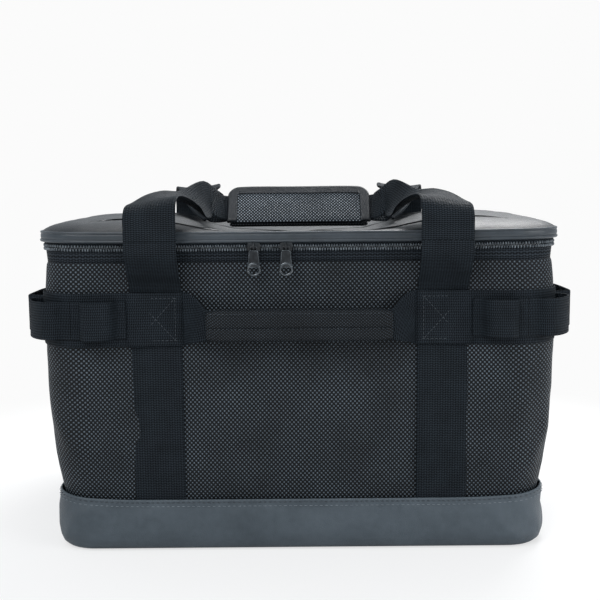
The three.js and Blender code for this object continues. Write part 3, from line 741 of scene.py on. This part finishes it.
def build_tapes():
    """The lower tape runs from the shell out to the zip, and the upper one up to the lid's edge."""
    s = ring_run(-ZIP_END - TAPE_OVERRUN, ZIP_END + TAPE_OVERRUN)
    base = skin(s, BODY_TOP - 1, detail=False) + 1.2
    profile = [
        (0.0, BODY_TOP - 4), (0.2, BODY_TOP - 1), (0.55, ZIP_Z - 5),
        (0.8, ZIP_Z - 2.6), (1, ZIP_Z - 1),
    ]
    rows = []
    for share, z in profile:
        offset = base + (lid_out(s) - TAPE_SET_BACK - base) * share
        rows.append(row_round(s, offset, z + rim_sag(s) * share))
    lower = cloth_band("zip_tape_lower", s, rows, 10)
    settle(lower, "bag", "webbing", MAT["tape"], "lower_zip_tape")
    s = ring_run(-S_HALF, S_HALF)
    profile = [(TAPE_SET_BACK, ZIP_Z + 1), (2.6, ZIP_Z + 2.6), (0.8, LID_LOW_Z)]
    rows = [row_round(s, lid_out(s) - inset, z + rim_sag(s)) for inset, z in profile]
    upper = cloth_band("zip_tape_upper", s, rows, 6)
    settle(upper, "lid", "webbing", MAT["tape"], "upper_zip_tape")


def build_teeth():
    """Two rows of coil teeth, half a pitch apart."""
    marks = np.arange(-ZIP_END, ZIP_END, TOOTH_PITCH)
    for name, body, z, shift, node in (
        ("zip_teeth_lower", "bag", ZIP_Z - TOOTH_RISE, 0, "lower_zip_coil"),
        ("zip_teeth_upper", "lid", ZIP_Z + TOOTH_RISE, TOOTH_PITCH / 2, "upper_zip_coil"),
    ):
        s = marks + shift
        centres = row_round(s, lid_out(s) - TOOTH_SET_BACK, z + rim_sag(marks))
        outward = row_round(s, lid_out(s), z + rim_sag(marks)) - centres
        teeth = beads(name, centres, [0, 0, 1.0], outward, 2.9, 1.55, 2.6)
        settle(teeth, body, "plastic", MAT["teeth"], node)


def build_lid_hinge():
    """The cloth that joins the lid to the bag across the back, where the zip ends."""
    s = ring_run(ZIP_END + TAPE_OVERRUN, 2 * S_HALF - ZIP_END - TAPE_OVERRUN)
    base = skin(s, BODY_TOP - 1, detail=False)
    profile = [
        (0, BODY_TOP - 3), (0.3, BODY_TOP + 2), (0.7, ZIP_Z - 2),
        (0.85, ZIP_Z), (1, ZIP_Z + 2), (1.05, LID_LOW_Z),
    ]
    rows = [row_round(s, base + 1 + (lid_out(s) - HINGE_SET_BACK - base) * share, z) for share, z in profile]
    hinge = cloth_band("lid_hinge_cloth", s, rows, 14)
    settle(hinge, None, "nylon", MAT["tape"], "lid_hinge_strip")
    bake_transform(hinge)


# ---------------------------------------------------------------- straps


WEB_LIFT = 1.1  # the middle of webbing that lies on the cloth
LEG_LOW = 38.0
LEG_RELEASE = 226.0  # the top of the band, where the strap leaves the bag
LEG_CREST = CREST_Z - 7


def strap_leg_path(facing):
    """From under the boot's hem, up the cloth, then bowing out to the crest."""
    low = np.arange(LEG_LOW, LEG_RELEASE, 6.0)
    offsets = skin(STRAP_X, low, detail=False) + WEB_LIFT
    start = offsets[-1]
    crest = CREST_Y - HALF_D
    climb = CREST_Z - 8 - LEG_RELEASE
    bow = curve([
        (start + 1.0, LEG_RELEASE + 2),
        (start + 6, LEG_RELEASE + 0.22 * climb),
        (start + 15, LEG_RELEASE + 0.42 * climb),
        (crest - 1.0, LEG_RELEASE + 0.75 * climb),
        (crest, LEG_CREST),
    ], 6)
    profile = np.concatenate([np.stack([offsets, low], 1), bow])
    y = facing * (HALF_D + profile[:, 0])
    return np.stack([0 * y, y, profile[:, 1]], 1)


def build_strap_legs():
    for end, facing in ENDS:
        for side, sign in SIDES:
            path = strap_leg_path(facing) + np.array([sign * STRAP_X, 0, 0])
            leg = strip(f"{end}_{side}_strap_webbing", path, [1, 0, 0], STRAP_W)
            settle(leg, "bag", "webbing", MAT["webbing"], f"{end}_{side}_strap")


WRAP_TILT = math.radians(50)
WRAP_Z = 291.5
WRAP_HALF = 67.0
WRAP_UP = np.array([0, math.cos(WRAP_TILT), math.sin(WRAP_TILT)])
WRAP_OUT = np.array([0, -math.sin(WRAP_TILT), math.cos(WRAP_TILT)])


def wrap_point(x, u, v):
    """A point of the tilted wrap: x along it, u up its face and v out of its face."""
    return np.array([x, 0, WRAP_Z]) + WRAP_UP * u + WRAP_OUT * v


def carry_path(facing):
    """Rows of x, y, z, width direction and width for a carry strap's left half."""
    lift = 0 if facing < 0 else 1
    crest = facing * CREST_Y
    x = -STRAP_X
    rows = [
        [x, crest, LEG_CREST, facing, 0, 0, STRAP_W],
        [x, crest, CREST_Z + 3, facing, 0, 0, STRAP_W],
        [x, crest * 0.998, CREST_Z + 13, facing, 0, -0.10, STRAP_W],
        [x + 0.5, crest * 0.965, CREST_Z + 22.5 + 2 * lift, facing, 0, -0.17, STRAP_W],
        [x + 3, crest * 0.89, CREST_Z + 27 + 5 * lift, facing, 0.06, -0.16, STRAP_W],
        [x + 9, crest * 0.74, CREST_Z + 28 + 7 * lift, 0.9 * facing, 0.25, 0.06, STRAP_W],
        [x + 16, crest * 0.53, CREST_Z + 25.5 + 7 * lift, 0.75 * facing, 0.42, 0.3, STRAP_W],
        [x + 24, crest * 0.31, CREST_Z + 20.5 + 4 * lift, 0.5 * facing, 0.53, 0.55, 38],
    ]
    into_wrap = [(-21, 17, 34, 14), (-13, 6, 31, 3), (-7, 2, 30, 0), (-2, 1, 30, 0), (3, 1, 30, 0)]
    for at, depth, width, rise in into_wrap:
        spot = wrap_point(-WRAP_HALF + at, 0, -facing * depth)
        spot[2] += lift * rise
        rows.append([*spot, 0, WRAP_UP[1], WRAP_UP[2], width])
    return curve(rows, 6)


def build_carry_straps():
    """Each strap is one ribbon from crest to crest, and its right half mirrors its left."""
    for end, facing in ENDS:
        left = carry_path(facing)
        right = left[::-1] * np.array([-1, 1, 1, -1, 1, 1, 1])
        rows = np.concatenate([left, right])
        strap = strip(f"{end}_carry_webbing", rows[:, :3], rows[:, 3:6], rows[:, 6])
        settle(strap, None, "webbing", MAT["webbing"], f"{end}_carry_strap")
        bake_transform(strap)


# ---------------------------------------------------------------- wrap


EDGE_CORNER_STEPS = 7


def wrap_edge():
    """The flap's bound edge in x, u: up one end, over the top and down the other end."""
    half, top, radius = WRAP_HALF + 1.5, 22.0, 11.0
    points = [(half, -20.0), (half, -8.0), (half, 4.0)]
    for k in range(EDGE_CORNER_STEPS + 1):
        a = k / EDGE_CORNER_STEPS * math.pi / 2
        points.append((half - radius + radius * math.cos(a), top - radius + radius * math.sin(a)))
    points += [(half * f, top + 0.5 * math.sin(3 * f)) for f in (0.7, 0.45, 0.2)]
    return points + [(-x, u) for x, u in reversed(points)]


FLAP_AROUND = 28
FLAP_COLUMNS = 49
FLAP_HALF = 20.8
FLAP_TOP = 21.3
FLAP_CORNER = 10
FLAP_MIDDLE_V = 3.75


def build_wrap():
    """A padded back panel that hooks under the straps, and the flap that closes over them."""
    hook = curve([(21, -3.7), (2, -3.9), (-14, -3.7), (-18.6, -2.6), (-20.3, 0.2), (-20.0, 1.7)], 6)
    centre = np.array([wrap_point(0, u, v) for u, v in hook])
    back = strip("wrap_back_pad", centre, [1, 0, 0], 2 * WRAP_HALF, 3.0)
    settle(back, "rear_strap", "wrap_nylon", MAT["grip_nylon"], "wrap_back_panel")
    build_flap()
    build_binding()


def flap_ring(c):
    """The pillow-shaped section of the flap at share c of its half length."""
    fullness = max((1 - abs(c) ** 14) ** 0.5, 0.25)
    into_corner = max(0.0, abs(c) * WRAP_HALF - (WRAP_HALF - FLAP_CORNER))
    rounded = math.sqrt(max(FLAP_CORNER**2 - into_corner**2, 0))
    ring = []
    for k in range(FLAP_AROUND):
        a = 2 * math.pi * k / FLAP_AROUND
        across = np.sign(math.cos(a)) * abs(math.cos(a)) ** 0.35
        thick = np.sign(math.sin(a)) * abs(math.sin(a)) ** 0.8
        u = min(0.5 + FLAP_HALF * across, FLAP_TOP - FLAP_CORNER + rounded)
        v = FLAP_MIDDLE_V + thick * (1.45 + 0.5 * (1 - across**2)) * fullness
        ring.append(wrap_point(c * WRAP_HALF, u, v))
    return ring


def build_flap():
    """The padded flap, with its weave laid flat across its face."""
    rings = [flap_ring(c) for c in np.linspace(-1, 1, FLAP_COLUMNS)]
    flap = tube_of("wrap_flap_pad", rings)
    coordinates = flap.data.uv_layers[0].data
    for loop in flap.data.loops:
        spot = flap.data.vertices[loop.vertex_index].co / MM
        coordinates[loop.index].uv = (spot.x, spot.y * WRAP_UP[1] + (spot.z - WRAP_Z) * WRAP_UP[2])
    settle(flap, "wrap_flap", "wrap_nylon", MAT["wrap_nylon"], "wrap_flap_panel")


def build_binding():
    """A flat binding round three edges of the flap, its rolled outer edge and its stitching."""
    edge = curve(wrap_edge(), 3)
    forward = directions(edge)
    inward = np.stack([-forward[:, 1], forward[:, 0]], 1)
    inset = edge + inward * 4.0
    path = np.array([wrap_point(x, u, 5.5) for x, u in inset])
    wide = np.array([WRAP_UP * n[1] + np.array([n[0], 0, 0]) for n in inward])
    binding = strip("wrap_binding", path, wide, 8.6, 1.9)
    settle(binding, "wrap_flap", "trim_leather", MAT["binding"], "wrap_flap_binding")
    roll = np.array([wrap_point(x, u, 4.4) for x, u in edge + inward * 0.4])
    rolled = round_tube("wrap_binding_edge", roll, 1.7)
    settle(rolled, "wrap_flap", "trim_leather", MAT["binding"])
    seam = even(edge + inward * 7.4, 3.4)
    centres = np.array([wrap_point(x, u, 6.35) for x, u in seam])
    row = beads("wrap_stitches", centres, directions(centres), WRAP_OUT, 2.3, 0.55, 0.7)
    settle(row, "wrap_flap", "trim_leather", MAT["thread"])


# ---------------------------------------------------------------- bands, loops, grips


def path_round(rows, z, sign, per_span=5):
    """A run of [s, lift above the cloth] at height z, as points on the right (1) or left (-1)."""
    line = curve(rows, per_span)
    base = skin(line[:, 0], z, detail=False)
    return row_round(line[:, 0], base + line[:, 1], z) * [sign, 1, 1]


def mirrored_rear(rows):
    """The same run of [s, lift] at the rear of the bag."""
    return [[S_HALF - s, lift] for s, lift in reversed(rows)]


STITCH_STEP = 3.6
STITCH_INSET = 5


def build_bands():
    """The bands lie on the cloth and ride over the vertical straps."""
    edge = STRAP_X + STRAP_W / 2
    over = WEB + 1.3
    front = [[edge - STRAP_W - 1, over], [edge - 24, over + 0.1], [edge - 1, over], [edge + 4, 1.2]]
    middle = [[s, WEB_LIFT] for s in np.linspace(edge + 12, S_HALF - edge - 12, 40)]
    rows = front + middle + mirrored_rear(front)
    for side, sign in SIDES:
        path = path_round(rows, BAND_Z, sign, 4)
        band = strip(f"{side}_band_webbing", path, [0, 0, 1], BAND_H)
        settle(band, "bag", "webbing", MAT["webbing"], f"{side}_end_band")
        build_crossings(side, sign)


def build_crossings(side, sign):
    """Box stitching with a cross where the band passes over each vertical strap."""
    half_x, half_z = STRAP_W / 2 - STITCH_INSET, BAND_H / 2 - STITCH_INSET
    low, high = (-half_x, -half_z), (half_x, half_z)
    first = [low, (half_x, -half_z), high, (-half_x, half_z), low, high]
    second = [(-half_x, half_z), (half_x, -half_z)]
    lines = np.concatenate([even(first, STITCH_STEP), even(second, STITCH_STEP)])
    across, up = lines.T
    run = directions(lines)
    for end, facing in ENDS:
        out = HALF_D + float(skin(STRAP_X, BAND_Z, detail=False)) + WEB + 2.25
        centres = np.stack([sign * (STRAP_X + across), facing * out + 0 * across, BAND_Z + up], 1)
        ahead = np.stack([sign * run[:, 0], 0 * run[:, 0], run[:, 1]], 1)
        row = beads(f"{side}_{end}_cross_stitches", centres, ahead, [0, facing, 0], 2.6, 0.6, 0.6)
        settle(row, "bag", "webbing", MAT["thread"])


LOOP_FOOT = 2.9  # the middle of a loop's feet, which lie on the band


def loop_rows(start, stop, rise):
    """A bow loop: flat feet, steep sides and a nearly level top."""
    return [
        [start, LOOP_FOOT], [start + 6, LOOP_FOOT + 0.1], [start + 8.5, 0.45 * rise],
        [start + 11, 0.92 * rise], [start + 15, rise + 2.3], [(start + stop) / 2, rise + 2.9],
        [stop - 13, rise + 2.4], [stop - 8, 0.9 * rise], [stop - 6.5, 0.4 * rise],
        [stop - 5, LOOP_FOOT + 0.1], [stop, LOOP_FOOT],
    ]


def build_loops():
    """Three bow loops from the front strap to each side's middle, and three more at the rear."""
    edge = STRAP_X + STRAP_W / 2
    runs = {
        "front_loop": (edge + 3.5, edge + 46, 10.5),
        "front_corner_loop": (FRONT_RUN + 7, S_CORNER + 4, 10.5),
        "side_front_loop": (S_CORNER + 6, S_SIDE_MIDDLE - 29, 19.0),
    }
    for side, sign in SIDES:
        for name, run in runs.items():
            rows = loop_rows(*run)
            for end, placed in (("front", rows), ("rear", mirrored_rear(rows))):
                node = f"{side}_{name.replace('front', end)}"
                loop = strip(f"{node}_webbing", path_round(placed, BAND_Z, sign), [0, 0, 1], LOOP_H)
                settle(loop, "bag", "webbing", MAT["webbing"], node)


def build_grips():
    """A padded sleeve on webbing whose ends run back under the bands."""
    middle = (SLEEVE_LOW[2] + SLEEVE_HIGH[2]) / 2
    half = SLEEVE_HIGH[0]
    out = -SLEEVE_HIGH[1] + 4 - HALF_D
    inner = STRAP_X - STRAP_W / 2
    base = float(skin(inner, BAND_Z, detail=False))
    rows = [
        [inner + 3, base + 1.6, BAND_Z, BAND_H],
        [inner - 2, base + 2.2, BAND_Z, BAND_H],
        [inner - 8, base + 5.5, BAND_Z - 0.8, BAND_H - 4],
        [inner - 15, out - 3.5, BAND_Z - 3, BAND_H - 12],
        [half + 1, out - 0.5, middle + 0.4, 27],
        [half - 8, out, middle, 24],
    ]
    line = curve(rows, 5)
    for end, facing in ENDS:
        for side, sign in SIDES:
            points = np.stack([sign * line[:, 0], facing * (HALF_D + line[:, 1]), line[:, 2]], 1)
            piece = strip(f"{end}_grip_{side}_end", points, [0, 0, 1], line[:, 3])
            settle(piece, None, "webbing", MAT["webbing"], f"{end}_grip_webbing")
            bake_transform(piece)
        build_sleeve(end, facing, half, out, middle)


def build_sleeve(end, facing, half, out, middle):
    """The padded sleeve, with a pinched seam along its face and two rows of stitches."""
    section = [
        (-3.2, -12.6), (-1.6, -13.6), (1.4, -13.5), (3.6, -11.8), (4.5, -8.0), (4.3, -4.6), (3.2, -2.4),
        (4.4, -0.6), (4.9, 3.0), (4.8, 7.5), (4.0, 11.0), (2.0, 13.4), (-1.4, 13.6), (-3.4, 12.0),
        (-4.2, 6.0), (-4.3, -4.0),
    ]
    outline = curve(section + section[:1], 3)[:-1]
    rings = []
    for x in np.linspace(-half, half, 80):
        wobble = 0.35 * noise.noise(Vector((x / 26, facing * 3.0, 0.5)))
        pinch = 1 - 0.12 * smooth(abs(x), half - 10, half)
        ring = []
        for depth, height in outline:
            bump = 0.25 * noise.noise(Vector((x / 9, depth / 5, height / 9)))
            reach = HALF_D + out + depth * pinch + wobble + bump
            ring.append((x, facing * reach, middle + height * pinch))
        rings.append(ring)
    sleeve = tube_of(f"{end}_grip_pad", rings)
    settle(sleeve, f"{end}_grip", "wrap_nylon", MAT["grip_nylon"], f"{end}_grip_sleeve")
    marks = np.arange(-half + 4, half - 3, 3.4)
    for index, (height, proud) in enumerate([(-2.3, 3.6), (10.4, 4.7)]):
        reach = HALF_D + out + proud
        centres = np.stack([marks, facing * reach + 0 * marks, middle + height + 0 * marks], 1)
        row = beads(f"{end}_grip_stitches_{index}", centres, [1, 0, 0], [0, facing, 0], 2.3, 0.5, 0.8)
        settle(row, f"{end}_grip", "wrap_nylon", MAT["thread"])


# ---------------------------------------------------------------- zip sliders, pulls and rings


def rounded_plate(name, outline, inner_y, outer_y, chamfer):
    """A plate facing -Y from an x, z outline, with its front edge rounded."""
    outline = np.asarray(outline, float)
    middle = outline.mean(0)
    rings = []
    reach = np.linalg.norm(outline - middle, axis=1, keepdims=True)
    edge = 0.3 * chamfer
    for y, inset in [(inner_y, 0), (outer_y + chamfer, 0), (outer_y + edge, edge), (outer_y, chamfer)]:
        shrunk = outline - (outline - middle) / reach * inset
        rings.append([(x, y, z) for x, z in shrunk])
    return tube_of(name, rings)


# A slider's outline with its nose towards +X, from the middle of its blunt end round the nose.
SLIDER_HALF = [(-5.2, -3.6), (-3.0, -4.4), (2.6, -4.4), (5.0, -3.0), (6.0, 0)]
WIRE_RADIUS = 0.8


def build_sliders():
    """Two sliders nose to nose, each with a wire bail that holds its pull."""
    front = -(HALF_D + LID_OUT - 0.6)
    outline = SLIDER_HALF + [(x, -z) for x, z in reversed(SLIDER_HALF[:-1])] + [(-5.6, 0)]
    for side, sign in SIDES:
        node = f"{side}_slider"
        low, high = box_mm(node)
        x0 = (low[0] + high[0]) / 2
        placed = [(x0 - sign * x, ZIP_Z + z) for x, z in outline]
        plate = rounded_plate(f"{side}_slider_plate", placed, front + 1.8, front - 1.0, 0.8)
        settle(plate, node, "metal", MAT["dark_metal"], node)
        pull_low, pull_high = box_mm(f"{side}_pull")
        pivot = (pull_low[1] + pull_high[1]) / 2
        foot, shoulder = front - 0.8, pivot - 0.4
        arch = [(foot, 3.4), (shoulder, 2.7), (pivot - 2.2, 0), (shoulder, -2.7), (foot, -3.4)]
        path = [(x0, y, ZIP_Z + z) for y, z in curve(arch, 5)]
        bail = round_tube(f"{side}_slider_bail", path, 0.75)
        settle(bail, node, "metal", MAT["dark_metal"])
        build_pull(side, x0, pivot, ZIP_Z)


def build_pull(side, x0, y0, z0):
    """A tapered pull with a recessed face, a wire top and an open rounded ring end."""
    body = f"{side}_pull"
    half_top, half_low = 3.4, 5.0
    top_z, low_z = z0 - 3.2, z0 - 17.0
    shape = [(-half_top, top_z), (half_top, top_z), (half_low - 0.4, low_z), (-half_low + 0.4, low_z)]
    outline = even(np.array(shape + shape[:1]), 1.2)[:-1]
    placed = [(x0 + x, z) for x, z in outline]
    face = rounded_plate(f"{side}_pull_face", placed, y0 + 0.8, y0 - 0.9, 0.5)
    settle(face, body, "metal", MAT["dark_metal"], body)
    rim = np.array([(x0 + x * 1.02, y0 - 0.7, z) for x, z in outline])
    edge = round_tube(f"{side}_pull_rim", rim, 0.55, 6, closed=True)
    settle(edge, body, "metal", MAT["metal"])
    turns = np.arange(24) * math.pi / 12
    ring = [(x0 + 5.0 * math.cos(a), y0, low_z - 1.8 + 4.9 * math.sin(a)) for a in turns]
    eye = round_tube(f"{side}_pull_ring", ring, 1.3, closed=True)
    settle(eye, body, "metal", MAT["metal"])
    half = [(-2.6, top_z - 0.5), (-2.6, z0 - 0.8), (-1.5, z0)]
    wire = curve([(x0 + x, y0, z) for x, z in half + [(-x, z) for x, z in reversed(half)]], 5)
    hanger = round_tube(f"{side}_pull_wire", wire, WIRE_RADIUS)
    settle(hanger, body, "metal", MAT["dark_metal"])


RING_WIRE = 1.5  # radius


def build_rings():
    """A webbing tab on each end of the bag and the D-ring that hangs in it."""
    low, high = box_mm("right_ring")
    bar_x = (low[0] + high[0]) / 2
    bar_z = high[2] - RING_WIRE
    half = (high[1] - low[1]) / 2 - RING_WIRE
    cloth = HALF_W + float(skin(S_SIDE_MIDDLE, bar_z, detail=False))
    turns = np.linspace(math.pi, 2 * math.pi, 17)
    dee = [(half * math.cos(a), -7 + half * math.sin(a)) for a in turns]
    bar = np.stack([np.linspace(half, -half, 12)[1:-1], np.zeros(10)], 1)
    outline = np.concatenate([curve([(-half, 0.0), *dee, (half, 0.0)], 2), bar])
    tab = [
        (cloth + 1.0, bar_z - 12), (cloth + 1.0, bar_z - 3), (bar_x - 2.4, bar_z + 1.6),
        (bar_x, bar_z + 3.0), (bar_x + 2.6, bar_z + 0.8), (bar_x + 1.2, bar_z - 3.2),
        (cloth + 3.2, bar_z - 7.5), (cloth + 2.9, bar_z - 13),
    ]
    for side, sign in SIDES:
        path = [(sign * bar_x, y, bar_z + z) for y, z in outline]
        ring = round_tube(f"{side}_dee_ring", path, RING_WIRE, 10, closed=True)
        settle(ring, f"{side}_ring", "metal", MAT["dark_metal"], f"{side}_ring")
        line = curve([(sign * x, 0.0, z) for x, z in tab], 5)
        webbing = strip(f"{side}_ring_webbing", line, [0, 1, 0], 24, 1.4)
        settle(webbing, "bag", "webbing", MAT["webbing"], f"{side}_ring_tab")


# ---------------------------------------------------------------- carried-over pieces and stage


def dress_frame():
    """Finishes for the pieces that keep their own shape: insulation, board, lining and rim."""
    looks = {
        "base_board": "plastic", "liner_tub": "lining", "lid_liner": "lining", "rim_binding": "binding",
        "foam_bottom": "foam", "foam_front": "foam", "foam_back": "foam", "foam_left": "foam",
        "foam_right": "foam", "lid_foam": "foam",
    }
    for node, look in looks.items():
        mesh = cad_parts[node].data
        mesh.materials.clear()
        mesh.materials.append(MAT[look])


WHITE = 0.965  # the background's brightness as the camera sees it


def build_stage():
    """A white surround, a pale floor and three soft lamps."""
    world = bpy.data.worlds.new("studio")
    bpy.context.scene.world = world
    world.use_nodes = True
    tree = world.node_tree
    tree.nodes.clear()
    path = tree.nodes.new("ShaderNodeLightPath")
    seen = tree.nodes.new("ShaderNodeBackground")
    seen.inputs["Color"].default_value = (WHITE, WHITE, WHITE, 1)
    lit = tree.nodes.new("ShaderNodeBackground")
    lit.inputs["Color"].default_value = (0.9, 0.95, 1.0, 1)
    lit.inputs["Strength"].default_value = 0.6
    mix = tree.nodes.new("ShaderNodeMixShader")
    out = tree.nodes.new("ShaderNodeOutputWorld")
    tree.links.new(path.outputs["Is Camera Ray"], mix.inputs[0])
    tree.links.new(lit.outputs[0], mix.inputs[1])
    tree.links.new(seen.outputs[0], mix.inputs[2])
    tree.links.new(mix.outputs[0], out.inputs[0])
    bpy.ops.mesh.primitive_plane_add(size=30, location=(0, 0, 0))
    floor = bpy.context.object
    floor.name = "floor"
    floor.data.materials.append(floor_material())
    lamp("key", (-0.9, -1.5, 1.9), (0, 0, 0.15), 1.2, 26)
    lamp("fill", (1.7, -1.1, 0.9), (0, 0, 0.15), 1.0, 12)
    lamp("top", (0.35, 0.75, 1.4), (0, 0, 0.25), 1.0, 26)


def floor_material():
    """A pale floor that keeps the soft shadow near the bag and fades to white further off."""
    m = Nodes("floor", 0.9)
    tree = m.tree
    tree.nodes.remove(m.shader)
    path = m.node("ShaderNodeLightPath")
    dull = m.node("ShaderNodeBsdfDiffuse")
    dull.inputs["Color"].default_value = (0.72, 0.72, 0.72, 1)
    seen = m.node("ShaderNodeBsdfDiffuse")
    seen.inputs["Color"].default_value = (0.36, 0.36, 0.36, 1)
    glow = m.node("ShaderNodeEmission")
    glow.inputs["Strength"].default_value = 0.61
    near = m.node("ShaderNodeAddShader")
    far = m.node("ShaderNodeEmission")
    far.inputs["Strength"].default_value = WHITE
    length = m.node("ShaderNodeVectorMath", operation="LENGTH")
    tree.links.new(m.node("ShaderNodeTexCoord").outputs["Object"], length.inputs[0])
    fade = m.node("ShaderNodeMapRange", interpolation_type="SMOOTHSTEP")
    fade.inputs["From Min"].default_value = 0.28
    fade.inputs["From Max"].default_value = 0.62
    tree.links.new(length.outputs["Value"], fade.inputs["Value"])
    shown = m.node("ShaderNodeMixShader")
    mix = m.node("ShaderNodeMixShader")
    tree.links.new(seen.outputs[0], near.inputs[0])
    tree.links.new(glow.outputs[0], near.inputs[1])
    tree.links.new(fade.outputs[0], shown.inputs[0])
    tree.links.new(near.outputs[0], shown.inputs[1])
    tree.links.new(far.outputs[0], shown.inputs[2])
    tree.links.new(path.outputs["Is Camera Ray"], mix.inputs[0])
    tree.links.new(dull.outputs[0], mix.inputs[1])
    tree.links.new(shown.outputs[0], mix.inputs[2])
    tree.links.new(mix.outputs[0], tree.nodes["Material Output"].inputs[0])
    return m.material


def lamp(name, place, target, size, power):
    """A square area light at place that points at target."""
    light = bpy.data.lights.new(name, "AREA")
    light.size = size
    light.energy = power
    obj = bpy.data.objects.new(name, light)
    obj.location = place
    obj.rotation_euler = (Vector(target) - Vector(place)).to_track_quat("-Z", "Y").to_euler()
    bpy.context.scene.collection.objects.link(obj)


def build_camera():
    """Nearly straight on, just above the lid, looking slightly down and rolled half a degree."""
    camera = bpy.data.cameras.new("camera")
    camera.lens = 57.7
    camera.sensor_width = 36.0
    obj = bpy.data.objects.new("camera", camera)
    obj.location = (0.0015, -0.951, 0.317)
    obj.rotation_euler = (math.radians(90 - 7.0), math.radians(0.5), 0)
    bpy.context.scene.collection.objects.link(obj)
    bpy.context.scene.camera = obj
    bpy.context.scene.view_settings.view_transform = "Standard"


build_camera()
build_stage()
build_shell()
build_boot()
build_lid()
build_tapes()
build_teeth()
build_lid_hinge()
build_strap_legs()
build_carry_straps()
build_wrap()
build_bands()
build_loops()
build_grips()
build_sliders()
build_rings()
dress_frame()
